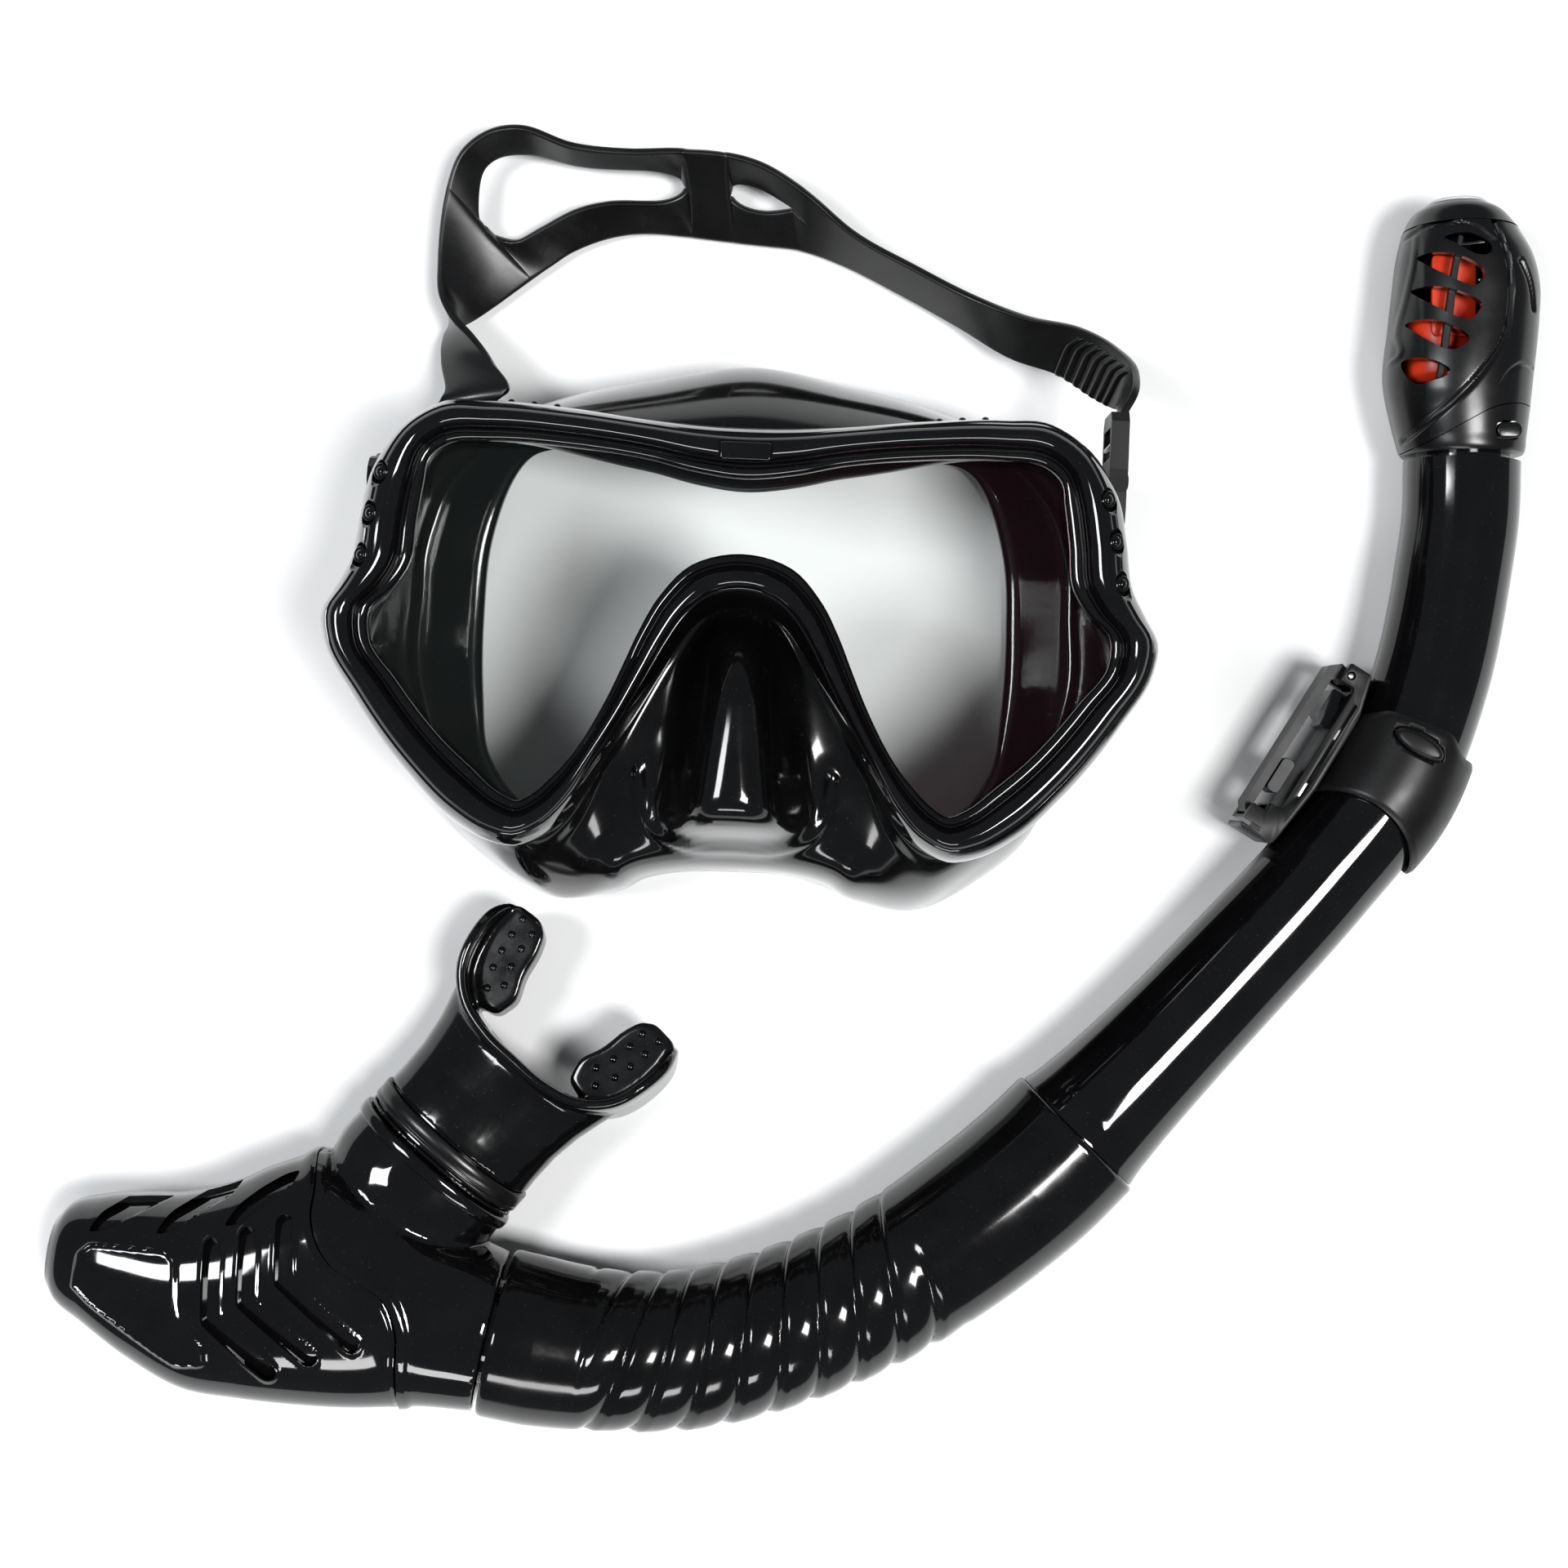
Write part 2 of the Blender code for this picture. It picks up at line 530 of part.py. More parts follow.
def make_buckle(word, side, heading, looks, mask):
    """One strap buckle with its lug on the frame, pivot pin, roller, release button and washer."""
    low, high = BUCKLE_X
    pivot = (side * low, *PIVOT)
    upright = buckle_frame(side, math.radians(90))
    lug_section = [(72.4, 53.7), (72.4, 55.6), (76.6, 55.6), (76.6, 41.0), (74.7, 41.0), (74.7, 53.7)]
    ends = [[(side * x, y, z) for x, z in lug_section] for y in (25.0, 35.0)]
    lug = solid(f"buckle_mount_{word}", *loft(ends), looks["matte"], mask)
    pin_hole = solid(f"lug_hole_{word}", *block_turned(upright, 0.0, 0.0, 1.9, 73.0, 78.0), None, mask)
    cut(lug, pin_hole)

    place = buckle_frame(side, heading)
    outline = [(18.4, -7.2), (20.4, -5.6), (20.4, 5.6), (18.4, 7.2), (8.0, 7.2), (3.4, 5.6)]
    outline += [(5.6 * math.cos(t), 5.6 * math.sin(t)) for t in np.radians((90, 120, 150, 180, 210, 240, 270))]
    outline += [(3.4, -5.6), (8.0, -7.2)]
    body = solid(f"buckle_body_{word}", *prism(place, outline, low, high), looks["matte"], mask, pivot)
    cutters = {
        "pin": block_turned(place, 0.0, 0.0, 1.9, low - 1, high + 1),
        "button": block_turned(place, 6.2, 0.0, 2.1, high - 2.4, high + 1),
        "window": block(place, (10.6, 17.0), (-5.4, 5.4), (low - 1, high + 1)),
        "bar": block(place, (16.0, 22.0), (-5.4, 5.4), (78.3, high + 1)),
        "axle": roller_turned(place, 0.75, 6.4),
    }
    for use, shape in cutters.items():
        cut(body, solid(f"buckle_{use}_cut_{word}", *shape, None, mask, pivot))
    pin = block_turned(place, 0.0, 0.0, 1.6, 74.4, high)
    solid(f"buckle_pin_{word}", *pin, looks["steel"], mask, pivot)
    roller = solid(f"strap_roller_{word}", *roller_turned(place, 0.45, 6.0), looks["steel"], mask,
                   place(13.2, 0.0, 77.7))
    join(roller, solid(f"roller_barrel_{word}", *roller_turned(place, 0.75, 5.0), None, mask,
                       place(13.2, 0.0, 77.7)))
    button = block_turned(place, 6.2, 0.0, 1.8, high - 0.9, high + 0.9)
    solid(f"release_button_{word}", *button, looks["matte"], mask, place(6.2, 0.0, high))
    rings = [
        oval_ring(place(6.2, 0.0, x), place(1, 0, 0) - place(0, 0, 0), place(0, 1, 0) - place(0, 0, 0),
                  r, r, 12)
        for x, r in ((high - 2.1, 1.7), (high - 1.8, 1.7), (high - 1.8, 1.0), (high - 2.1, 1.0))
    ]
    solid(f"button_washer_{word}", *loft(rings, looped=True), looks["silicone"], mask, pivot)


def block_turned(place, a, b, radius, low, high):
    """A round post along a frame's third direction."""
    side = place(1, 0, 0) - place(0, 0, 0)
    up = place(0, 1, 0) - place(0, 0, 0)
    return loft([oval_ring(place(a, b, x), side, up, radius, radius, 12) for x in (low, high)])


def roller_turned(place, radius, half_length):
    """A round bar across the buckle's window, where the strap turns back."""
    start = place(13.2, -half_length, 77.7)
    along = place(0, 1, 0) - place(0, 0, 0)
    return turned(start, along, [(0.0, radius), (2 * half_length, radius)], 8)


def strap_rows():
    """The strap's table of rows with the middle of the band filled in where it is whole."""
    rows = []
    for upper, top, bottom, lower in STRAP:
        whole = top is None
        upper, lower = np.array(upper), np.array(lower)
        top = upper * 0.62 + lower * 0.38 if whole else np.array(top)
        bottom = upper * 0.38 + lower * 0.62 if whole else np.array(bottom)
        rows.append((upper, top, bottom, lower, whole))
    return rows


def make_strap(looks, mask):
    """The split silicone strap as one ribbon with its two openings."""
    rows = strap_rows()
    keys = lengths_along([(r[0] + r[3]) / 2 for r in rows])
    edges = [smooth_curve(keys, [r[i] for r in rows]) for i in range(4)]
    samples = []
    for i in range(len(keys) - 1):
        samples += [keys[i], (keys[i] + keys[i + 1]) / 2]
    samples.append(keys[-1])
    points = [edge(k) for k in samples for edge in edges]
    openings = ((2 * 13, 2 * 19), (2 * 20, 2 * 22))
    faces = []
    for i in range(len(samples) - 1):
        for j in range(3):
            if j == 1 and any(a <= i < b for a, b in openings):
                continue
            faces.append((4 * i + j, 4 * i + j + 1, 4 * i + j + 5, 4 * i + j + 4))
    strap = solid("strap", points, faces, looks["silicone"], mask, (0.0, *PIVOT))
    wall = strap.modifiers.new("wall", "SOLIDIFY")
    wall.thickness = STRAP_WALL * MM
    wall.offset = 0.0
    wall.use_even_offset = True


# ---------------------------------------------------------------- snorkel tubes
def tube_rings(curve, stations, radii, sides):
    """Rings square to a flat route at the given lengths."""
    rings = []
    for s, r in zip(stations, radii):
        ahead = Vector(curve(s + 0.5)) - Vector(curve(s - 0.5))
        ahead.z = 0.0
        ahead.normalize()
        side = Vector((-ahead.y, ahead.x, 0.0))
        rings.append(oval_ring(curve(s), side, (0.0, 0.0, 1.0), r, r, sides))
    return rings


def make_hose(looks, snorkel):
    """The flexible hose: smooth sleeve, ridged middle and smooth cuff, with a plain bore."""
    curve, length = route_curve(HOSE_ROUTE)
    ridge_start, ridge_end = 20.0, length - 46.0
    pitch = (ridge_end - ridge_start) / RIDGES
    profile = [(0.4, 19.0), (10.0, 18.8), (ridge_start - 1.5, 18.2)]
    for i in range(RIDGES):
        start = ridge_start + i * pitch
        profile += [(start + 0.1 * pitch, 16.6), (start + 0.35 * pitch, 17.7), (start + 0.85 * pitch, 17.6)]
    profile += [(ridge_end + 1.0, 17.0), (ridge_end + 12.0, 17.7), (length - 16.0, 17.8), (length - 0.3, 16.9)]
    outer = tube_rings(curve, [s for s, _ in profile], [r for _, r in profile], HOSE_SIDES)
    bore = [profile[0][0], 9.0, *np.linspace(18.0, length - 18.0, 9), profile[-1][0]]
    inner = tube_rings(curve, bore, [13.3] * len(bore), HOSE_SIDES)
    middle = curve(length / 2)
    solid("flex_hose", *hollow_loft(outer, inner), looks["silicone"], snorkel, middle)


def make_barrel(looks, snorkel, parts_origin):
    """The rigid barrel: a spigot in the hose cuff, a flared collar and a long gentle bend."""
    curve, length = route_curve(BARREL_ROUTE)
    collar = lengths_along(BARREL_ROUTE)[2]
    stations = [0.5, collar + 0.1, collar + 0.4, collar + 3.0, collar + 9.0, collar + 19.0]
    radii = [12.7, 12.7, 16.7, 16.4, 15.4, 14.6]
    rest = np.linspace(collar + 34.0, length, 11)
    stations += list(rest)
    radii += list(np.interp(rest, [collar + 34.0, collar + 75.0, length - 30.0, length], [13.9, 13.3, 12.9, 13.0]))
    outer = tube_rings(curve, stations, radii, TUBE_SIDES)
    bores = [stations[0], *np.linspace(16.0, length - 12.0, 11), length]
    inner = tube_rings(curve, bores, [11.3] + [11.8] * 12, TUBE_SIDES)
    solid("barrel", *hollow_loft(outer, inner), looks["gloss"], snorkel, parts_origin)


# ---------------------------------------------------------------- mouthpiece end
def branch(d, l, z):
    """Frame of the mouthpiece branch: d toward the mouth, l to its right, z over the axis."""
    right = Vector((BRANCH_AXIS.y, -BRANCH_AXIS.x, 0.0))
    return Vector(BRANCH_ORIGIN) + BRANCH_AXIS * d + right * l + Vector((0, 0, z))


def branch_rings(rows, sides=20, power=2.2):
    side = branch(0, 1, 0) - branch(0, 0, 0)
    return [oval_ring(branch(d, 0, 0), side, (0, 0, 1), l, z, sides, power) for d, l, z in rows]


# Rings of the purge cover and the chamber behind it: centre, heading, half width and half height.
BODY_RINGS = [
    ((-65.7, -123.1, 19.3), -13.0, 17.7, 17.9),
    ((-77.0, -119.6, 19.3), -6.0, 20.0, 18.6),
    ((-86.5, -114.6, 19.3), 6.0, 25.0, 19.0),
    ((-95.8, -110.8, 19.3), 15.9, 30.0, 19.0),
    ((-104.0, -111.8, 19.2), 10.0, 28.4, 19.0),
    ((-113.0, -112.6, 19.1), 6.0, 26.6, 18.9),
    ((-122.5, -113.6, 18.9), 2.0, 24.2, 18.6),
    ((-134.5, -113.8, 18.4), 0.0, 21.8, 17.8),
    ((-145.4, -110.6, 17.8), -4.0, 18.4, 16.6),
    ((-155.6, -106.8, 17.3), -8.0, 14.2, 14.6),
    ((-161.6, -105.4, 17.0), -8.0, 11.4, 12.0),
    ((-164.4, -105.1, 17.0), -8.0, 8.0, 8.6),
]


def headed_rings(rows, shrink=0.0, sides=24):
    rings = []
    for centre, heading, width, height in rows:
        angle = math.radians(heading)
        side = (-math.sin(angle), math.cos(angle), 0.0)
        rings.append(oval_ring(centre, side, (0, 0, 1), width - shrink, height - shrink, sides, 2.4))
    return rings


def seam_side(name, reach, gap, snorkel):
    """A cutter that covers everything on one side of the seam, out to reach along X."""
    line = [(x + gap, y) for x, y in SEAM]
    outline = [*line, (line[-1][0] + reach, line[-1][1]), (line[0][0] + reach, line[0][1])]
    place = flat_frame((0.0, 0.0, 0.0), 0.0)
    return solid(name, *prism(place, outline, -5.0, 50.0), None, snorkel)


def make_chamber(looks, snorkel):
    """The chamber that joins the hose, the mouthpiece branch and the purge opening."""
    base = (*BRANCH_ORIGIN[:2], SEAT_CENTRE[2])
    body = solid("chamber", *loft(headed_rings(BODY_RINGS[:6])), looks["gloss"], snorkel, base)
    arm_rows = [(-30.0, 14.0, 12.0), (-19.0, 20.2, 15.2), (-8.3, 20.2, 14.6)]
    join(body, solid("branch_arm", *loft(branch_rings(arm_rows)), None, snorkel))
    spigot_rows = [(-9.0, 17.0, 11.2), (3.0, 17.0, 11.2)]
    join(body, solid("branch_spigot", *loft(branch_rings(spigot_rows)), None, snorkel))
    nipple = [((-67.0, -122.8, 19.3), -13.0, 11.8, 11.8), ((-53.8, -125.9, 19.0), -12.0, 11.8, 11.8)]
    join(body, solid("hose_nipple", *loft(headed_rings(nipple, 0.0, 16)), None, snorkel))
    cut(body, seam_side("chamber_seam_cut", -60.0, 0.3, snorkel))
    bore = [((-69.0, -122.2, 19.3), -13.0, 14.6, 14.6), *BODY_RINGS[1:5]]
    bore += [((-119.0, -113.0, 19.0), 5.0, 27.0, 18.9)]
    cut(body, solid("chamber_bore", *loft(headed_rings(bore, 2.2)), None, snorkel))
    mouth = [(-22.0, 16.0, 11.0), (-10.0, 15.0, 9.4), (6.0, 15.0, 9.4)]
    cut(body, solid("branch_bore", *loft(branch_rings(mouth)), None, snorkel))
    throat = [((-74.0, -121.2, 19.3), -13.0, 10.2, 10.2), ((-50.0, -126.6, 18.9), -13.0, 10.2, 10.2)]
    cut(body, solid("nipple_bore", *loft(headed_rings(throat, 0.0, 16)), None, snorkel))


def make_purge(looks, snorkel):
    """The purge valve's seat and disc near the seam, and the vented cover over them."""
    place = flat_frame(SEAT_CENTRE, SEAT_ANGLE)
    seat_rows = [
        (tuple(place(1.4, -1.7, 0.0)), 15.9, 25.6, 16.0),
        (tuple(place(3.2, -2.4, 0.0)), 15.9, 25.0, 15.9),
    ]
    seat = solid("purge_valve_seat", *loft(headed_rings(seat_rows)), looks["gloss"], snorkel)
    across = place(0, 1, 0) - place(0, 0, 0)
    ahead = place(1, 0, 0) - place(0, 0, 0)
    hub = place(0.4, -6.0, 0.0)
    for i in range(6):
        angle = math.pi * i / 3
        spot = hub + across * (6.4 * math.cos(angle)) + Vector((0, 0, 6.4 * math.sin(angle)))
        port = turned(spot, ahead, [(0.0, 2.5), (4.0, 2.5)], 8)
        cut(seat, solid(f"purge_port_{i + 1}", *port, None, snorkel))
    cut(seat, solid("purge_stem_hole", *turned(hub, ahead, [(0.0, 1.4), (4.0, 1.4)], 8), None, snorkel))
    profile = [(0.0, 10.2), (0.5, 10.8), (1.0, 10.6), (1.02, 1.0), (5.0, 1.0), (5.6, 1.7), (6.4, 0.8)]
    disc = turned(place(0.0, -6.0, 0.0), ahead, profile, 16)
    solid("purge_valve", *disc, looks["silicone"], snorkel, place(0.0, -6.0, 0.0))

    cover = solid("purge_cover", *loft(headed_rings(BODY_RINGS[1:])), looks["gloss"], snorkel)
    cut(cover, seam_side("cover_seam_cut", 60.0, -0.3, snorkel))
    inner = [((-72.0, -121.6, 19.3), -10.0, 20.0, 18.4), *BODY_RINGS[2:11]]
    cut(cover, solid("cover_hollow", *loft(headed_rings(inner, 2.2)), None, snorkel))
    top = flat_frame((0.0, 0.0, 19.0), 0.0)
    for i in range(3):
        x, y = -126.6 + 9.2 * i, -102.6 + 2.2 * i
        vent = [(x, y), (x + 3.4, y), (x + 3.4, y - 14.0), (x + 16.6, y - 25.2), (x + 14.2, y - 27.8),
                (x, y - 16.0)]
        cut(cover, solid(f"cover_vent_{i + 1}", *prism(top, vent, 6.0, 24.0), None, snorkel))


def make_mouthpiece(looks, snorkel):
    """The silicone mouthpiece: collar, curved lip shield and two bite pads, and its clamp band."""
    neck = [
        (-7.9, 20.2, 14.4), (-6.9, 20.2, 14.4), (-6.8, 18.9, 13.1), (-1.4, 18.9, 13.1), (-1.3, 19.8, 14.0),
        (2.0, 19.6, 13.8), (9.0, 19.4, 13.0), (15.0, 20.0, 12.4), (20.0, 17.0, 11.4),
    ]
    body = solid("mouthpiece", *loft(branch_rings(neck)), looks["silicone"], snorkel, branch(0, 0, 0))
    half = [(0.0, 19.0), (9.0, 19.3), (17.2, 21.6), (22.8, 26.8), (25.4, 34.0), (26.0, 41.4), (23.4, 47.6)]
    line = [(-l, d) for l, d in half[:0:-1]] + half
    wall = []
    for i, (l, d) in enumerate(line):
        before, after = line[max(i - 1, 0)], line[min(i + 1, len(line) - 1)]
        ahead = Vector((after[0] - before[0], after[1] - before[1])).normalized()
        tall = 13.0 - 5.5 * smoothstep(30.0, 50.0, d)
        left, right = (l - 1.4 * ahead.y, d + 1.4 * ahead.x), (l + 1.4 * ahead.y, d - 1.4 * ahead.x)
        corners = [(left, -tall), (right, -tall), (right, tall), (left, tall)]
        wall.append([branch(p[1], p[0], z) for p, z in corners])
    join(body, solid("lip_shield", *loft(wall), None, snorkel))
    for side, word in ((-1, "left"), (1, "right")):
        pad = [(24.2, 46.0), (25.6, 40.0), (23.4, 29.0), (17.0, 22.4), (10.2, 23.6), (9.8, 27.4),
               (12.6, 34.0), (13.8, 44.0), (18.6, 47.0)]
        pad_place = [[branch(d, side * l, z) for l, d in pad] for z in (-4.2, 4.2)]
        join(body, solid(f"bite_pad_{word}", *loft(pad_place), None, snorkel))
    bore = [(-9.0, 17.5, 11.7), (4.0, 17.5, 11.7), (10.0, 12.0, 7.6), (30.0, 8.6, 6.0)]
    cut(body, solid("mouthpiece_bore", *loft(branch_rings(bore)), None, snorkel))
    inner, outer = branch_rings([(-6.2, 19.3, 13.5)])[0], branch_rings([(-6.2, 20.4, 14.6)])[0]
    inner_end, outer_end = branch_rings([(-2.0, 19.3, 13.5)])[0], branch_rings([(-2.0, 20.4, 14.6)])[0]
    band = loft([inner, outer, outer_end, inner_end], looped=True)
    solid("mouthpiece_clamp_band", *band, looks["matte"], snorkel)


# ---------------------------------------------------------------- keeper
def make_keeper(looks, snorkel):
    """The clip that holds the snorkel to the mask strap: ring, inlay, gate, lock slider and pin."""
    place = flat_frame(KEEPER_CENTRE, KEEPER_ANGLE)
    curve, _ = route_curve(BARREL_ROUTE)
    span = range(5)
    middle = lengths_along(BARREL_ROUTE)[6] + 0.4
    stations = [middle - 12.0 + 6.0 * i for i in span]
    outer = tube_rings(curve, stations, [15.2, 15.5, 15.6, 15.5, 15.2], 20)
    inner = tube_rings(curve, stations, [14.2] * 5, 20)
    along = place(1, 0, 0) - place(0, 0, 0)
    for rim in (outer[0], inner[0]):
        middle_of_rim = sum(rim, Vector()) / len(rim)
        for i, point in enumerate(rim):
            lateral = (point - middle_of_rim).cross(along).z
            rim[i] = point + along * (5.0 * max(0.0, 1 - (lateral / 14.0) ** 2))
    for rim in (outer[-1], inner[-1]):
        middle_of_rim = sum(rim, Vector()) / len(rim)
        for i, point in enumerate(rim):
            b = -(point - middle_of_rim).cross(along).z
            rise = 3.6 if point.z > middle_of_rim.z + 5.0 else 0.0
            rim[i] = point + along * (rise * smoothstep(13.0, 6.0, abs(b - 2.4)))
    ring = solid("keeper_ring", *hollow_loft(outer, inner), looks["matte"], snorkel, KEEPER_CENTRE)
    spine = [(-24.5, 17.0), (-24.5, 25.5), (-18.5, 25.5), (-18.5, 22.0), (-16.5, 22.0), (-16.5, 19.6),
             (15.0, 19.6), (15.0, 23.6), (19.5, 23.6), (19.5, 18.0), (10.0, 15.4), (-9.0, 15.2)]
    join(ring, solid("keeper_spine", *prism(place, spine, -8.0, 8.0), None, snorkel))
    slot = block(place, (13.6, 21.0), (19.8, 24.6), (-4.6, 4.6))
    cut(ring, solid("gate_slot", *slot, None, snorkel))
    catch = block(place, (-21.6, -17.0), (20.2, 27.0), (-4.6, 4.6))
    cut(ring, solid("catch_slot", *catch, None, snorkel))
    cut(ring, solid("keeper_pin_hole", *block_turned(place, 17.0, 22.0, 1.0, -9.0, 9.0), None, snorkel))
    pin = block_turned(place, 17.0, 22.0, 0.7, -7.8, 7.8)
    solid("keeper_pin", *pin, looks["steel"], snorkel, place(17.0, 22.0, 0.0))
    gate_line = [(18.0, 21.6), (18.8, 24.6), (17.0, 26.8), (-19.0, 26.8), (-20.9, 25.4), (-20.9, 21.0),
                 (-19.5, 21.0), (-19.5, 24.8), (14.4, 24.8), (15.6, 23.4), (16.0, 21.6)]
    pivot = place(17.0, 22.0, 0.0)
    gate = solid("keeper_gate", *prism(place, gate_line, -4.3, 4.3), looks["matte"], snorkel, pivot)
    join(gate, solid("gate_knuckle", *block_turned(place, 17.0, 22.0, 1.8, -4.3, 4.3), None, snorkel))
    cut(gate, solid("gate_pin_hole", *block_turned(place, 17.0, 22.0, 1.0, -9.0, 9.0), None, snorkel))
    lock_outline = rounded_outline((-14.0, -5.6), (21.4, 24.5), 1.0, 2)
    solid("keeper_lock", *prism(place, lock_outline, -4.6, 4.6), looks["matte"], snorkel,
          place(-9.8, 23.0, 0.0))
    inlay = keeper_oval(place, 6.0, 2.4, -0.2, 1.1)
    pocket = keeper_oval(place, 6.4, 2.8, -0.5, 6.0)
    cut(ring, solid("inlay_pocket", *pocket, None, snorkel))
    solid("keeper_inlay", *inlay, looks["matte"], snorkel)


def keeper_oval(place, half_long, half_wide, low, high):
    """An oval on the keeper's tongue, between two heights over the ring's round surface."""
    turns = np.radians(range(0, 360, 20))
    spots = [(11.2 + half_wide * math.sin(t), 2.4 + half_long * math.cos(t)) for t in turns]
    return loft([[place(a, b, math.sqrt(15.4**2 - b * b) + h) for a, b in spots] for h in (low, high)])


# ---------------------------------------------------------------- dry top
def dry(a, b, c):
    """Frame of the dry top: across from the barrel's axis line, along it, and over it."""
    return Vector((a, b, DRY_Z + c))


def dry_rings(rows, shrink=0.0, sides=20):
    return [
        oval_ring(dry((low + high) / 2, y, 0), (1, 0, 0), (0, 0, 1), (high - low) / 2 - shrink,
                  tall - shrink, sides, 2.1)
        for y, low, high, tall in rows
    ]


SHROUD_ROWS = [
    (82.6, 137.4, 168.0, 14.9), (91.0, 135.9, 168.9, 15.7), (104.0, 137.1, 170.2, 16.0),
    (112.0, 138.0, 170.4, 16.0), (119.0, 138.9, 168.8, 15.4), (124.6, 140.2, 165.6, 14.2),
]
CAP_ROWS = [(125.0, 140.4, 165.4, 14.1), (128.4, 142.2, 162.4, 12.4), (130.8, 145.8, 158.0, 8.8)]


def make_dry_top(looks, snorkel):
    """The dry top: base with its air riser, slotted shroud, cap, vaned float, flap and release tab."""
    base_rows = [(74.2, 139.9, 166.9, 13.6), (78.0, 138.6, 167.4, 14.2), (82.2, 137.5, 167.9, 14.8)]
    base = solid("dry_top_base", *loft(dry_rings(base_rows)), looks["gloss"], snorkel)
    level = flat_frame((0.0, 0.0, DRY_Z), 0.0)
    ahead = (0.0, 1.0, 0.0)
    spigot = turned(dry(153.4, 62.0, 0), ahead, [(0.0, 10.6), (14.0, 10.6)], 16)
    join(base, solid("base_spigot", *spigot, None, snorkel))
    riser = turned(dry(161.5, 80.0, 0), ahead, [(0.0, 4.3), (31.8, 4.3)], 12)
    join(base, solid("base_riser", *riser, None, snorkel))
    join(base, solid("riser_bridge", *block(level, (158.4, 163.6), (97.0, 105.0), (-6.6, 6.6)), None, snorkel))
    ear = [(157.4, 99.0), (162.4, 99.0), (162.4, 108.0), (158.0, 114.6), (154.2, 114.6), (154.2, 111.4), (157.4, 109.4)]
    for side, word in ((-1, "low"), (1, "high")):
        heights = sorted((4.9 * side, 6.6 * side))
        join(base, solid(f"hinge_ear_{word}", *prism(level, ear, *heights), None, snorkel))
    ear_hole = block_turned(level, 155.9, 112.9, 0.8, -8.0, 8.0)
    cut(base, solid("hinge_ear_hole", *ear_hole, None, snorkel))
    bore = turned(dry(153.4, 60.0, 0), ahead, [(0.0, 9.2), (19.6, 9.2)], 16)
    cut(base, solid("base_bore", *bore, None, snorkel))
    riser_bore = turned(dry(160.7, 78.0, 0), (0.8, 34.0, 0.0), [(0.0, 3.2), (36.0, 3.2)], 12)
    cut(base, solid("riser_bore", *riser_bore, None, snorkel))
    tab_place = flat_frame((160.6, 78.4, 0.0), 0.0)
    well = prism(tab_place, rounded_outline((-3.2, 3.2), (-2.1, 2.1), 1.6, 3), DRY_Z + 9.6, DRY_Z + 18.0)
    cut(base, solid("tab_well", *well, None, snorkel))
    tab = prism(tab_place, rounded_outline((-2.8, 2.8), (-1.7, 1.7), 1.3, 3), DRY_Z + 11.0, DRY_Z + 13.4)
    solid("release_tab", *tab, looks["matte"], snorkel, (160.6, 78.4, DRY_Z + 11.0))

    shroud = solid("dry_top_shroud", *loft(dry_rings(SHROUD_ROWS)), looks["matte"], snorkel)
    inner = [(80.0, *SHROUD_ROWS[0][1:]), *SHROUD_ROWS[1:-1], (127.0, *SHROUD_ROWS[-1][1:])]
    cut(shroud, solid("shroud_hollow", *loft(dry_rings(inner, 1.7)), None, snorkel))
    for i in range(5):
        x, y = 151.9 - 2.1 * i, 119.4 - 7.1 * i
        place = flat_frame((x, y, DRY_Z), math.radians(-20))
        half = 7.2 - 0.5 * i
        window = [(-half, 1.3), (-half + 3.0, 2.0), (half, 0.6), (half - 0.4, -1.9), (half - 3.4, -2.2),
                  (-half + 2.0, 0.2)]
        cut(shroud, solid(f"shroud_slot_{i + 1}", *prism(place, window, 5.0, 20.0), None, snorkel))
    cap = solid("dry_top_cap", *loft(dry_rings(CAP_ROWS)), looks["matte"], snorkel)
    under = [(123.0, *CAP_ROWS[0][1:]), (127.0, 141.6, 163.6, 13.4), (129.2, 146.2, 157.8, 8.8)]
    cut(cap, solid("cap_hollow", *loft(dry_rings(under, 1.6)), None, snorkel))

    body = turned(dry(148.4, 90.4, 0), ahead, [(0.0, 6.4), (1.6, 8.0), (14.0, 8.0), (18.0, 5.0)], 14)
    float_body = solid("float", *body, looks["float"], snorkel, dry(148.4, 90.4, 0))
    vane = prism(level, [(144.6, 100.0), (154.4, 100.0), (154.4, 116.6), (150.4, 118.0), (144.6, 118.0)], 7.1, 8.4)
    join(float_body, solid("float_vane", *vane, None, snorkel))
    hinge = dry(155.9, 112.9, 0)
    swing = flat_frame(hinge, math.radians(36))
    plate = [(10.2, -0.7), (10.2, 0.7), (0.8, 0.9), (-6.6, 2.0), (-6.9, 0.8), (-0.8, -0.6)]
    flap = solid("valve_flap", *prism(swing, plate, -4.4, 4.4), looks["float"], snorkel, hinge)
    join(flap, solid("flap_knuckle", *block_turned(swing, 0.0, 0.0, 1.3, -4.0, 4.0), None, snorkel))
    cut(flap, solid("flap_bore", *block_turned(swing, 0.0, 0.0, 0.8, -6.0, 6.0), None, snorkel))
    pin = block_turned(swing, 0.0, 0.0, 0.5, -6.5, 6.5)
    solid("flap_pin", *pin, looks["steel"], snorkel, hinge)


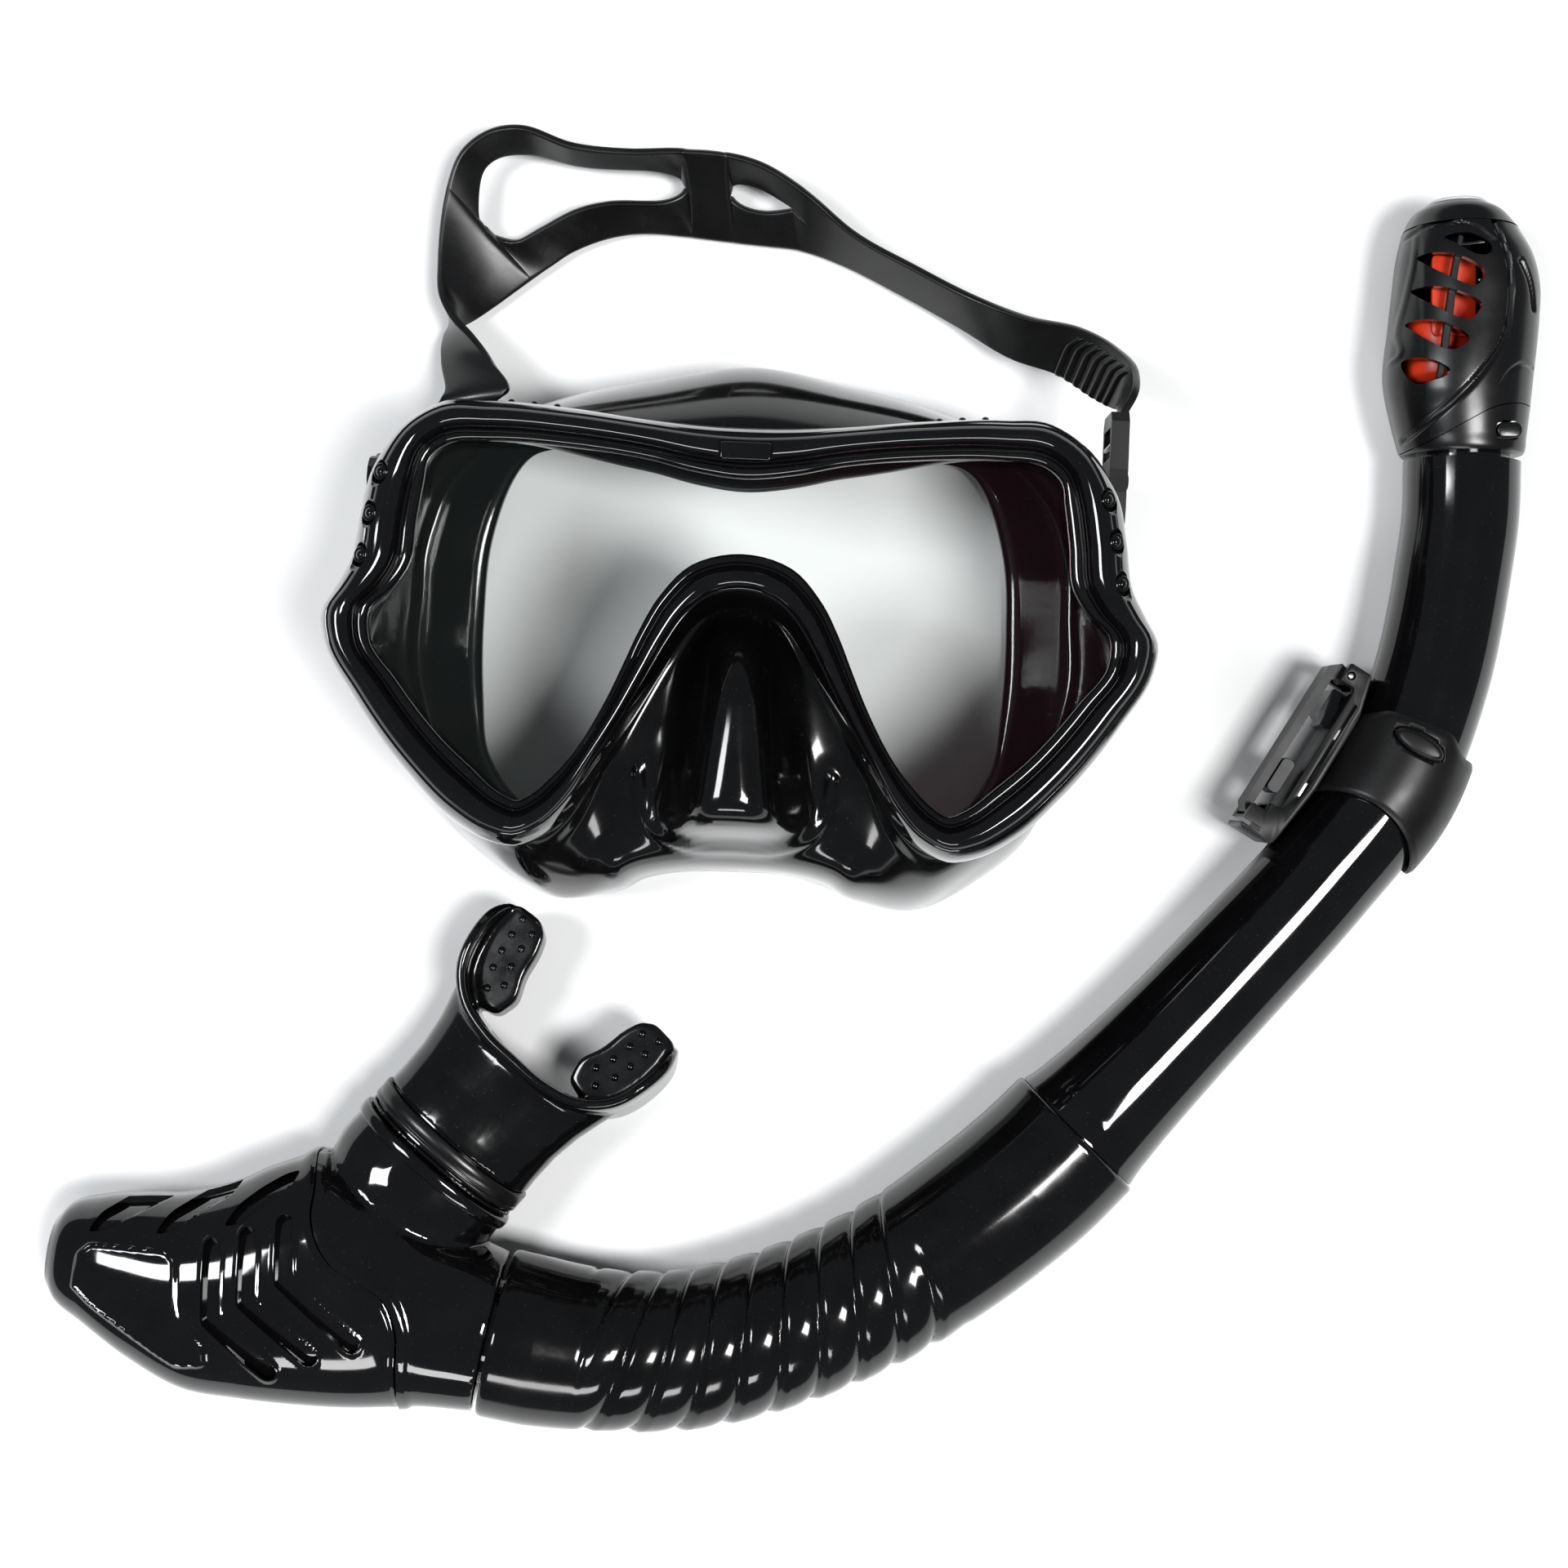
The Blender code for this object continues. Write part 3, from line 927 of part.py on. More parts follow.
# ---------------------------------------------------------------- the set
def main():
    clear_scene()
    looks = {
        "gloss": material("gloss_black_plastic", (0.012, 0.012, 0.014), 0.08),
        "matte": material("matte_black_plastic", (0.02, 0.02, 0.022), 0.42),
        "silicone": material("black_silicone", (0.014, 0.014, 0.016), 0.22),
        "glass": material("tempered_glass", (0.9, 0.93, 0.93), 0.02, alpha=0.25),
        "steel": material("stainless_steel", (0.55, 0.55, 0.56), 0.3, metallic=1.0),
        "float": material("orange_float", (0.85, 0.1, 0.03), 0.35),
    }
    mask = empty("mask_datum", MASK_PLACE, MASK_TURN)
    snorkel = empty("snorkel_datum", SNORKEL_PLACE)
    make_rim(looks, mask)
    make_skirt(looks, mask)
    make_buckle("right", 1, 0.0, looks, mask)
    make_buckle("left", -1, math.radians(-90), looks, mask)
    make_strap(looks, mask)
    make_hose(looks, snorkel)
    make_barrel(looks, snorkel, HOSE_ROUTE[4])
    make_chamber(looks, snorkel)
    make_purge(looks, snorkel)
    make_mouthpiece(looks, snorkel)
    make_keeper(looks, snorkel)
    make_dry_top(looks, snorkel)
    bpy.context.view_layer.update()


main()
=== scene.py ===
"""The looks of the snorkel mask set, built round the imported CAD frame.

Lengths are millimetres in the mask's or the snorkel's own frame; MASK and SNORKEL place them in the row
frame, in metres.
"""

import math

import bmesh
import bpy
import numpy as np
from mathutils import Matrix, Vector


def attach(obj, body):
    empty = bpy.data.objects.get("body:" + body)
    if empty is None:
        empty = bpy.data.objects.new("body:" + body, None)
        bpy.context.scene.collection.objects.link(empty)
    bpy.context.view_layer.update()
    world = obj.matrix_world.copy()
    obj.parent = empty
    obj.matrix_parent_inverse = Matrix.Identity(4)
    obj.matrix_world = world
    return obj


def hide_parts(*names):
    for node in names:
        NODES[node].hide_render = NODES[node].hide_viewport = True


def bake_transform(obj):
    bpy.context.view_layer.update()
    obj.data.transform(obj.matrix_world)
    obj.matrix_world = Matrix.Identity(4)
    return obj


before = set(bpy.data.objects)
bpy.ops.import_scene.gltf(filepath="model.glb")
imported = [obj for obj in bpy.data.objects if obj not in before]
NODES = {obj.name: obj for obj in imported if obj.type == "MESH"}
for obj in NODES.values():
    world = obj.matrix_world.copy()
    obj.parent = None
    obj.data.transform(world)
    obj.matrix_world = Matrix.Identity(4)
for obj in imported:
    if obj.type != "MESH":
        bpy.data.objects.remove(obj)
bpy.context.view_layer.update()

MM = 0.001
PICTURE_CENTRE = (-0.0024, -0.0021)      # the spot on the table under the camera, in metres
MASK_TURN = math.radians(-2.2)
MASK = Matrix.Translation((-0.0116, 0.0298, 0.0)) @ Matrix.Rotation(MASK_TURN, 4, "Z") @ Matrix.Scale(MM, 4)
SNORKEL = Matrix.Translation((*PICTURE_CENTRE, 0.0)) @ Matrix.Scale(MM, 4)

# ---------------------------------------------------------------- camera
CAMERA_HEIGHT = 0.6
SENSOR_WIDTH = 36.0
FRAME_PIXELS = 1920
PIXEL_ON_TABLE = 0.00019

camera_data = bpy.data.cameras.new("camera")
camera_data.sensor_width = SENSOR_WIDTH
camera_data.lens = SENSOR_WIDTH * CAMERA_HEIGHT / (FRAME_PIXELS * PIXEL_ON_TABLE)
camera_data.clip_start = 0.01
camera = bpy.data.objects.new("camera", camera_data)
camera.location = (*PICTURE_CENTRE, CAMERA_HEIGHT)
bpy.context.scene.collection.objects.link(camera)
bpy.context.scene.camera = camera


# ---------------------------------------------------------------- materials
def set_inputs(tree, node, inputs):
    """Sets each named or numbered input of a node to a value, or links another node's output to it."""
    for name, value in inputs.items():
        if isinstance(value, bpy.types.NodeSocket):
            tree.links.new(value, node.inputs[name])
        else:
            node.inputs[name].default_value = value


def add_node(tree, kind, output, inputs, **settings):
    """Adds a shader node and gives the named one of its outputs."""
    node = tree.nodes.new("ShaderNode" + kind)
    for name, value in settings.items():
        setattr(node, name, value)
    set_inputs(tree, node, inputs)
    return node.outputs[output]


def noise_node(tree, scale, detail=3.0, rough=0.55, offset=(0.0, 0.0, 0.0)):
    """Object-space noise; scale is in cycles per metre."""
    spot = add_node(tree, "TexCoord", "Object", {})
    moved = add_node(tree, "Mapping", "Vector", {"Vector": spot, "Location": offset})
    inputs = {"Vector": moved, "Scale": scale, "Detail": detail, "Roughness": rough}
    return add_node(tree, "TexNoise", "Fac", inputs)


def ramp_node(tree, source, stops):
    """Turns a value into a colour by stops of place and colour."""
    ramp = tree.nodes.new("ShaderNodeValToRGB")
    elements = ramp.color_ramp.elements
    elements[0].position, elements[0].color = stops[0][0], (*stops[0][1], 1.0)
    elements[1].position, elements[1].color = stops[-1][0], (*stops[-1][1], 1.0)
    for place, colour in stops[1:-1]:
        elements.new(place).color = (*colour, 1.0)
    tree.links.new(source, ramp.inputs["Fac"])
    return ramp.outputs["Color"]


def range_node(tree, source, low, high, out_low, out_high):
    """Carries a value from one range to another."""
    inputs = {"Value": source, "From Min": low, "From Max": high, "To Min": out_low, "To Max": out_high}
    return add_node(tree, "MapRange", "Result", inputs)


def maths(tree, how, a, b):
    """Sum or product of two values."""
    return add_node(tree, "Math", "Value", {0: a, 1: b}, operation=how)


def mixed(tree, share, colour, plain):
    """A colour with a share of a plain one laid over it."""
    inputs = {"Factor": share, "A": colour, "B": (*plain, 1.0)}
    return add_node(tree, "Mix", "Result", inputs, data_type="RGBA")


def bump_node(tree, height, distance, **below):
    """A relief of the given depth in metres, over another relief if one is given as Normal."""
    return add_node(tree, "Bump", "Normal", {"Height": height, "Distance": distance, "Strength": 1.0, **below})


def new_material(name):
    """A new material, its node tree and its main shader."""
    made = bpy.data.materials.new(name)
    made.use_nodes = True
    return made, made.node_tree, made.node_tree.nodes["Principled BSDF"]


WORN = (0.014, 0.014, 0.0145)
DUST = (0.32, 0.32, 0.33)


def moulded(name, dark, light, roughness, grain, grain_height, wave_height, worn=False, specular=0.5, metallic=0.0,
            dust=0.0):
    """A moulded plastic, rubber or metal: mottled colour, smudged roughness, fine grain and slow waviness."""
    made, tree, shader = new_material(name)
    colour = ramp_node(tree, noise_node(tree, 90.0, 4.0), [(0.32, dark), (0.7, light)])
    if worn:
        edge = add_node(tree, "NewGeometry", "Pointiness", {})
        share = range_node(tree, edge, 0.53, 0.62, 0.0, 0.7)
        share = maths(tree, "MULTIPLY", share, noise_node(tree, 400.0, 2.0, 0.6, (3.0, 1.0, 2.0)))
        colour = mixed(tree, share, colour, WORN)
    if dust > 0.0:
        speck = noise_node(tree, 2600.0, 1.0, 0.5, (7.0, 5.0, 1.0))
        colour = mixed(tree, range_node(tree, speck, 0.74, 0.78, 0.0, dust), colour, DUST)
    smudge = noise_node(tree, 55.0, 5.0, 0.65, (1.0, 2.0, 3.0))
    fine = noise_node(tree, grain, 2.0, 0.6, (4.0, 4.0, 4.0))
    slow = noise_node(tree, 45.0, 1.0, 0.4, (9.0, 2.0, 6.0))
    wave = bump_node(tree, slow, wave_height)
    set_inputs(tree, shader, {
        "Base Color": colour,
        "Roughness": range_node(tree, smudge, 0.35, 0.72, *roughness),
        "Normal": bump_node(tree, fine, grain_height, Normal=wave),
        "Specular IOR Level": specular,
        "Metallic": metallic,
    })
    return made


# Painted reflection colour of the lens, from the left of the mask to the right. The glass's mirror reflection is
# real, but its tint is painted in by place: greenish at the left, through grey and pink, to red at the right.
PAINTED_REFLECTION_TINT = [
    (0.0, (0.55, 0.66, 0.56)), (0.45, (0.7, 0.75, 0.8)), (0.62, (0.75, 0.35, 0.4)), (1.0, (0.5, 0.16, 0.24)),
]


def glass_material():
    """Thin clear glass that lets lamps through. The tint of its real mirror reflection is painted in by place:
    faint, and drifting across it from green at the left to red at the right.
    """
    made, tree, shader = new_material("glass_with_painted_reflection_tint")
    tree.nodes.remove(shader)
    spot = add_node(tree, "TexCoord", "Object", {})
    spot_x = add_node(tree, "SeparateXYZ", "X", {"Vector": spot})
    drift = maths(tree, "ADD", spot_x, maths(tree, "MULTIPLY", noise_node(tree, 30.0), 0.03))
    # painted reflection colour: the mirror's tint is set by place across the lens, not by what it reflects
    painted_tint = ramp_node(tree, range_node(tree, drift, -0.07, 0.08, 0.0, 1.0), PAINTED_REFLECTION_TINT)
    clear = add_node(tree, "BsdfTransparent", "BSDF", {"Color": (0.985, 0.995, 0.99, 1.0)})
    mirror = add_node(tree, "BsdfGlossy", "BSDF", {"Color": painted_tint, "Roughness": 0.01})
    fresnel = add_node(tree, "Fresnel", "Fac", {"IOR": 1.5})
    both = add_node(tree, "MixShader", "Shader", {"Fac": fresnel, 1: clear, 2: mirror})
    set_inputs(tree, tree.nodes["Material Output"], {"Surface": both})
    return made


GLOSS = moulded("gloss_black", (0.0016, 0.0016, 0.0019), (0.003, 0.003, 0.0034), (0.035, 0.1),
                5200.0, 2e-7, 4e-5, dust=0.08)
MATTE = moulded("satin_black", (0.0028, 0.0028, 0.0031), (0.0052, 0.0052, 0.0056), (0.32, 0.46),
                3800.0, 9e-6, 3e-5, worn=True, specular=0.25, dust=0.06)
SATIN = moulded("satin_black_smooth", (0.0026, 0.0026, 0.0029), (0.005, 0.005, 0.0054), (0.2, 0.32),
                4200.0, 3e-6, 3e-5, worn=True, specular=0.35, dust=0.06)
SILICONE = moulded("black_silicone", (0.0016, 0.0016, 0.0018), (0.0032, 0.0033, 0.0036), (0.07, 0.17),
                   4600.0, 5e-7, 7e-5, specular=0.4, dust=0.1)
STRAP_LOOK = moulded("charcoal_silicone", (0.0035, 0.0035, 0.0037), (0.007, 0.007, 0.0074), (0.24, 0.38),
                     3600.0, 4e-6, 4e-5, specular=0.4, dust=0.08)
STEEL = moulded("satin_steel", (0.42, 0.42, 0.43), (0.6, 0.6, 0.6), (0.22, 0.38), 3000.0, 2e-6, 1e-6, metallic=1.0)
ORANGE = moulded("orange_float", (0.45, 0.02, 0.006), (0.7, 0.05, 0.014), (0.25, 0.4), 3000.0, 3e-6, 3e-5)
PALE = moulded("pale_rim", (0.5, 0.5, 0.51), (0.68, 0.68, 0.68), (0.2, 0.35), 3000.0, 3e-6, 2e-5)
GLASS = glass_material()


# ---------------------------------------------------------------- floor and light
FLOOR_HALF = 3.0
SKY_STRENGTH = 0.17
TABLE_CENTRE = (0.0, 0.0, 0.0)
WHITE = (1.0, 1.0, 1.0)
LAMPS = [
    # name, place, what it points at, size, power and colour
    ("window_lamp", (0.56, -0.24, 1.7), TABLE_CENTRE, (0.38, 0.5), 29.0, WHITE),
    ("side_lamp", (-0.85, 0.1, 1.4), TABLE_CENTRE, (0.35, 0.5), 16.0, (0.96, 0.98, 1.0)),
    ("front_lamp", (-0.1, -1.3, 1.0), (0.0, 0.0, 0.02), (0.8, 0.25), 9.0, WHITE),
]


def area_light(name, place, aim, size, power, colour):
    """A rectangular lamp that shines from a place towards another."""
    data = bpy.data.lights.new(name, "AREA")
    data.shape = "RECTANGLE"
    data.size, data.size_y = size
    data.energy = power
    data.color = colour
    lamp = bpy.data.objects.new(name, data)
    lamp.location = place
    lamp.rotation_euler = (Vector(place) - Vector(aim)).to_track_quat("Z", "Y").to_euler()
    bpy.context.scene.collection.objects.link(lamp)


def make_stage():
    """A flat pale floor, a dim sky and three soft lamps."""
    corners = [(x * FLOOR_HALF, y * FLOOR_HALF, 0.0) for x, y in ((-1, -1), (1, -1), (1, 1), (-1, 1))]
    mesh = bpy.data.meshes.new("floor")
    mesh.from_pydata(corners, [], [(0, 1, 2, 3)])
    floor = bpy.data.objects.new("floor", mesh)
    bpy.context.scene.collection.objects.link(floor)
    look, tree, shader = new_material("pale_floor")
    colour = ramp_node(tree, noise_node(tree, 3.0), [(0.3, (0.86, 0.86, 0.86)), (0.7, (0.9, 0.9, 0.9))])
    set_inputs(tree, shader, {"Roughness": 0.9, "Specular IOR Level": 0.1, "Base Color": colour})
    mesh.materials.append(look)
    world = bpy.data.worlds.new("world")
    world.use_nodes = True
    sky = {"Color": (0.9, 0.95, 1.0, 1.0), "Strength": SKY_STRENGTH}
    set_inputs(world.node_tree, world.node_tree.nodes["Background"], sky)
    bpy.context.scene.world = world
    for lamp in LAMPS:
        area_light(*lamp)
    bpy.context.scene.view_settings.view_transform = "Standard"


# ---------------------------------------------------------------- small maths
def smooth_curve(keys, points):
    """A curve through points at increasing keys, returned as a function of the key."""
    keys = np.asarray(keys, float)
    points = np.asarray(points, float)
    spans = np.diff(keys)
    slopes = np.diff(points, axis=0) / spans[:, None]
    tangents = np.empty_like(points)
    tangents[0] = slopes[0]
    tangents[-1] = slopes[-1]
    for i in range(1, len(keys) - 1):
        before, after = spans[i - 1], spans[i]
        tangents[i] = (slopes[i - 1] * after + slopes[i] * before) / (before + after)

    def at(key):
        i = int(np.clip(np.searchsorted(keys, key, side="right") - 1, 0, len(spans) - 1))
        t = (key - keys[i]) / spans[i]
        h = spans[i]
        return (
            points[i] * (2 * t**3 - 3 * t**2 + 1)
            + tangents[i] * h * (t**3 - 2 * t**2 + t)
            + points[i + 1] * (3 * t**2 - 2 * t**3)
            + tangents[i + 1] * h * (t**3 - t**2)
        )

    return at


def lengths_along(points):
    """Length from the first point to each point of a route."""
    points = np.asarray(points, float)
    steps = np.linalg.norm(np.diff(points, axis=0), axis=1)
    return np.concatenate([[0.0], np.cumsum(steps)])


def route_curve(points):
    """A smooth curve through a route, keyed by length, and that length."""
    keys = lengths_along(points)
    return smooth_curve(keys, points), keys[-1]


def smoothstep(low, high, value):
    """0 at low, 1 at high and a smooth rise between them, for a number or an array."""
    t = np.clip((value - low) / (high - low), 0.0, 1.0)
    return t * t * (3 - 2 * t)


def oval_ring(centre, side, up, half_side, half_up, sides, power=2.0):
    """A closed ring in the plane of side and up; power over 2 squares it off."""
    ring = []
    for i in range(sides):
        a = 2 * math.pi * i / sides
        c, s = math.cos(a), math.sin(a)
        u = math.copysign(abs(c) ** (2 / power), c)
        v = math.copysign(abs(s) ** (2 / power), s)
        ring.append(Vector(centre) + Vector(side) * (u * half_side) + Vector(up) * (v * half_up))
    return ring


def flat_frame(origin, angle):
    """A frame lying on the table: along the given heading, to its left, and up."""
    along = Vector((math.cos(angle), math.sin(angle), 0.0))
    left = Vector((-math.sin(angle), math.cos(angle), 0.0))
    up = Vector((0.0, 0.0, 1.0))
    base = Vector(origin)

    def place(a, b, c):
        return base + along * a + left * b + up * c

    return place


def direction(place, a, b, c):
    """A direction of a frame."""
    return place(a, b, c) - place(0, 0, 0)


def soft_line(line, steps):
    """Points evenly spaced along a smooth curve through a route."""
    curve, length = route_curve(line)
    return np.array([curve(s) for s in np.linspace(0.0, length, steps)])


def rounded_line(line, steps, share):
    """A polyline whose inner corners are rounded off."""
    line = np.asarray(line, float)
    points = [line[0]]
    for before, corner, after in zip(line, line[1:], line[2:]):
        start, end = corner + (before - corner) * share, corner + (after - corner) * share
        for t in np.linspace(0.0, 1.0, steps):
            points.append(start * (1 - t) ** 2 + corner * 2 * t * (1 - t) + end * t**2)
    points.append(line[-1])
    return np.array(points)


def rounded_loop(outline, steps, share):
    """A closed outline whose corners are rounded off."""
    return rounded_line([*outline, outline[0], outline[1]], steps, share)[1:-1]


def distance_to(points, line):
    """Least distance of 2-D points from a polyline."""
    best = np.full(len(points), 1e9)
    for a, b in zip(line, line[1:]):
        step = b - a
        t = np.clip(((points - a) @ step) / max(step @ step, 1e-9), 0.0, 1.0)
        best = np.minimum(best, np.linalg.norm(points - (a + t[:, None] * step), axis=1))
    return best


def near_line(points, line, full, none):
    """1 where points lie within the first distance of a line, 0 beyond the second, smooth between them."""
    return 1 - smoothstep(full, none, distance_to(points[:, :2], line))


def inside(points, outline):
    """True for 2-D points inside an outline."""
    found = np.zeros(len(points), bool)
    x, y = points[:, 0], points[:, 1]
    for a, b in zip(outline, np.roll(outline, -1, axis=0)):
        crosses = (a[1] > y) != (b[1] > y)
        with np.errstate(divide="ignore", invalid="ignore"):
            found ^= crosses & (x < (b[0] - a[0]) * (y - a[1]) / (b[1] - a[1]) + a[0])
    return found


# ---------------------------------------------------------------- making pieces
PLACED = []                              # each piece with its body, its slot and the CAD nodes it stands for


def tool(shape, place=SNORKEL, look=GLOSS, name="tool"):
    """An object from points and faces in a frame, to cut or join others with, or to be cut itself."""
    points, faces = shape
    mesh = bpy.data.meshes.new(name)
    mesh.from_pydata([tuple(place @ Vector(p)) for p in points], [], faces)
    work = bmesh.new()
    work.from_mesh(mesh)
    bmesh.ops.recalc_face_normals(work, faces=work.faces)
    work.to_mesh(mesh)
    work.free()
    mesh.shade_smooth()
    made = bpy.data.objects.new(name, mesh)
    bpy.context.scene.collection.objects.link(made)
    mesh.materials.append(look)
    return made


def piece(name, shape, place, look, body, slot, *nodes):
    """A visible piece that rides on a body and stands for some CAD nodes."""
    made = tool(shape, place, look, name)
    PLACED.append((made, body, slot, nodes))
    return made


def finished(made, sharp_angle, body, slot, *nodes):
    """Makes a cut body a visible piece, with sharp edges where its faces meet at more than an angle."""
    crisp(made, sharp_angle)
    PLACED.append((made, body, slot, nodes))


def settled(obj):
    """Applies an object's modifiers to its mesh."""
    graph = bpy.context.evaluated_depsgraph_get()
    mesh = bpy.data.meshes.new_from_object(obj.evaluated_get(graph))
    old = obj.data
    obj.modifiers.clear()
    obj.data = mesh
    bpy.data.meshes.remove(old)
    return obj


def modified(obj, kind, **settings):
    """Adds a modifier."""
    step = obj.modifiers.new(kind.lower(), kind)
    for key, value in settings.items():
        setattr(step, key, value)


def boolean(obj, operation, others, place):
    """Cuts or joins others, objects or shapes in a frame, into obj one after another, and removes them."""
    for other in others:
        if isinstance(other, tuple):
            other = tool(other, place)
        modified(obj, "BOOLEAN", operation=operation, object=other, solver="MANIFOLD")
        settled(obj)
        bpy.data.objects.remove(other, do_unlink=True)


def cut(obj, *others, place=SNORKEL):
    """Cuts others out of a body."""
    boolean(obj, "DIFFERENCE", others, place)


def join(obj, *others, place=SNORKEL):
    """Joins others to a body."""
    boolean(obj, "UNION", others, place)


def melted(obj, voxel, smoothing):
    """Remeshes a joined body so that its inner corners run together like a moulding's."""
    modified(obj, "REMESH", mode="VOXEL", voxel_size=voxel * MM)
    modified(obj, "SMOOTH", factor=0.5, iterations=smoothing)
    settled(obj)


def bevelled(obj, width, segments=3, angle=30.0):
    """Rounds the hard edges of a plain body."""
    modified(obj, "WELD", merge_threshold=2e-6)
    modified(obj, "BEVEL", width=width * MM, segments=segments, limit_method="ANGLE",
             angle_limit=math.radians(angle), harden_normals=True)
    return obj


def shaped(obj, place, shift):
    """Moves each vertex along its normal by shift(points in the frame, normals), in millimetres."""
    mesh = obj.data
    count = len(mesh.vertices)
    points = np.empty(count * 3)
    normals = np.empty(count * 3)
    mesh.vertices.foreach_get("co", points)
    mesh.vertex_normals.foreach_get("vector", normals)
    points, normals = points.reshape(-1, 3), normals.reshape(-1, 3)
    back = np.array(place.inverted())
    local = points @ back[:3, :3].T + back[:3, 3]
    local_normals = normals @ (back[:3, :3] * MM).T
    moved = points + normals * (shift(local, local_normals) * MM)[:, None]
    mesh.vertices.foreach_set("co", moved.ravel())
    mesh.update()


def crisp(obj, sharp_angle=40):
    """Smooth shading, with sharp edges where faces meet at more than an angle in degrees."""
    obj.data.shade_smooth()
    obj.data.set_sharp_from_angle(angle=math.radians(sharp_angle))


def loft(rings, looped=False):
    """Points and faces through rings of equal length, capped at both ends unless looped."""
    count = len(rings[0])
    points = [p for ring in rings for p in ring]
    faces = []
    last = len(rings) if looped else len(rings) - 1
    for i in range(last):
        a = i * count
        b = ((i + 1) % len(rings)) * count
        for j in range(count):
            k = (j + 1) % count
            faces.append((a + j, a + k, b + k, b + j))
    if not looped:
        faces.append(tuple(range(count)))
        faces.append(tuple(range((len(rings) - 1) * count, len(rings) * count)))
    return points, faces


def hollow_loft(outer, inner):
    """A wall between two lofts that share their ends, open at both ends."""
    return loft(outer + inner[::-1], looped=True)


def prism(place, outline, low, high):
    """An outline in a frame's first two directions, pulled from low to high along its third."""
    return loft([[place(a, b, low) for a, b in outline], [place(a, b, high) for a, b in outline]])


def block(place, a, b, c):
    """A plain block between the given pairs of distances in a frame."""
    return prism(place, [(a[0], b[0]), (a[1], b[0]), (a[1], b[1]), (a[0], b[1])], c[0], c[1])


def rounded_outline(a, b, radius, steps=3):
    """A rectangle's outline with round corners."""
    outline = []
    corners = (
        (a[1] - radius, b[1] - radius, 0.0), (a[0] + radius, b[1] - radius, 0.5),
        (a[0] + radius, b[0] + radius, 1.0), (a[1] - radius, b[0] + radius, 1.5),
    )
    for x, y, start in corners:
        for i in range(steps + 1):
            angle = math.pi * (start + 0.5 * i / steps)
            outline.append((x + radius * math.cos(angle), y + radius * math.sin(angle)))
    return outline


def gathered(solids):
    """Several separate solids as one list of points and one of faces."""
    points, faces = [], []
    for more_points, more_faces in solids:
        faces += [tuple(len(points) + i for i in face) for face in more_faces]
        points += more_points
    return points, faces


def turned(start, along, profile, sides):
    """A solid of revolution: profile holds distances along the axis and radii."""
    along = Vector(along).normalized()
    side = along.orthogonal().normalized()
    up = along.cross(side)
    return loft([oval_ring(Vector(start) + along * d, side, up, r, r, sides) for d, r in profile])


def layered(place, outline, layers, pull):
    """A slab with softened edges: layers hold heights and how far the outline is drawn in along pull there."""
    return loft([[place(a, b, height) for a, b in outline - pull * inset] for height, inset in layers])


# ---------------------------------------------------------------- driving dimensions
PIVOT = (30.0, 45.5)                     # y and z of the buckle pivots, in the mask frame
BUCKLE_FACE = 80.9                       # outer face of a buckle
TONGUE_X = 79.7                          # middle of the strap where it passes through a buckle
ROLLER_ALONG = 13.2                      # from the pivot to the roller, along the buckle
ROLLER_X = 77.7
ROLLER_HALF = 6.0                        # half the roller's length
BUTTON_ALONG = 6.2                       # from the pivot to the button

# The rim's half outline, from the top centre round the temple and cheek to the nose arch.
# Each row is a point on the outer edge and the point on the lens side that faces it.
RIM = [
    ((0.0, 42.4), (0.0, 30.8)),
    ((10.0, 42.6), (10.0, 31.9)),
    ((20.0, 43.3), (19.5, 34.0)),
    ((36.5, 45.0), (36.0, 36.0)),
    ((53.5, 46.0), (52.0, 36.6)),
    ((63.5, 45.4), (61.0, 35.8)),
    ((71.0, 40.8), (64.8, 33.0)),
    ((77.5, 31.5), (66.0, 27.5)),
    ((80.0, 21.0), (67.2, 19.5)),
    ((81.6, 11.5), (68.4, 10.5)),
    ((84.4, 6.0), (71.6, 5.6)),
    ((87.3, 0.2), (76.0, 1.4)),
    ((86.4, -6.0), (76.2, -4.2)),
    ((80.0, -17.0), (70.4, -12.8)),
    ((68.5, -32.0), (60.5, -24.8)),
    ((58.8, -41.4), (53.6, -31.0)),
    ((50.6, -45.8), (48.6, -35.2)),
    ((44.8, -46.6), (44.6, -37.0)),
    ((38.4, -43.8), (41.2, -35.4)),
    ((32.8, -38.0), (37.0, -31.4)),
    ((27.6, -28.8), (32.4, -25.6)),
    ((21.6, -19.0), (27.0, -15.8)),
    ((16.8, -10.6), (23.4, -7.6)),
    ((13.0, -4.0), (20.4, -0.6)),
    ((9.6, 0.8), (16.8, 6.0)),
    ((5.4, 4.0), (10.6, 12.6)),
    ((0.0, 5.2), (0.0, 15.4)),
]
# The skirt's widest line and the inner edge of its face seal, by row of RIM.
SEAL_EDGE = [
    (0, (0.0, 61.0, 18.0)),
    (2, (20.0, 58.0, 17.0)),
    (3, (38.0, 54.5, 13.0)),
    (4, (54.0, 48.4, 8.0)),
    (5, (64.0, 42.6, 4.0)),
    (6, (71.0, 35.0, 2.0)),
    (7, (75.0, 25.0, 1.0)),
    (9, (77.0, 8.0, 0.0)),
    (11, (77.5, -6.0, 0.0)),
    (13, (71.0, -29.0, 0.0)),
    (15, (58.0, -49.5, 2.0)),
    (17, (42.0, -58.6, 6.0)),
    (19, (29.0, -57.4, 10.0)),
    (21, (20.0, -53.4, 13.0)),
    (24, (9.0, -51.4, 16.0)),
    (26, (0.0, -51.2, 17.0)),
]
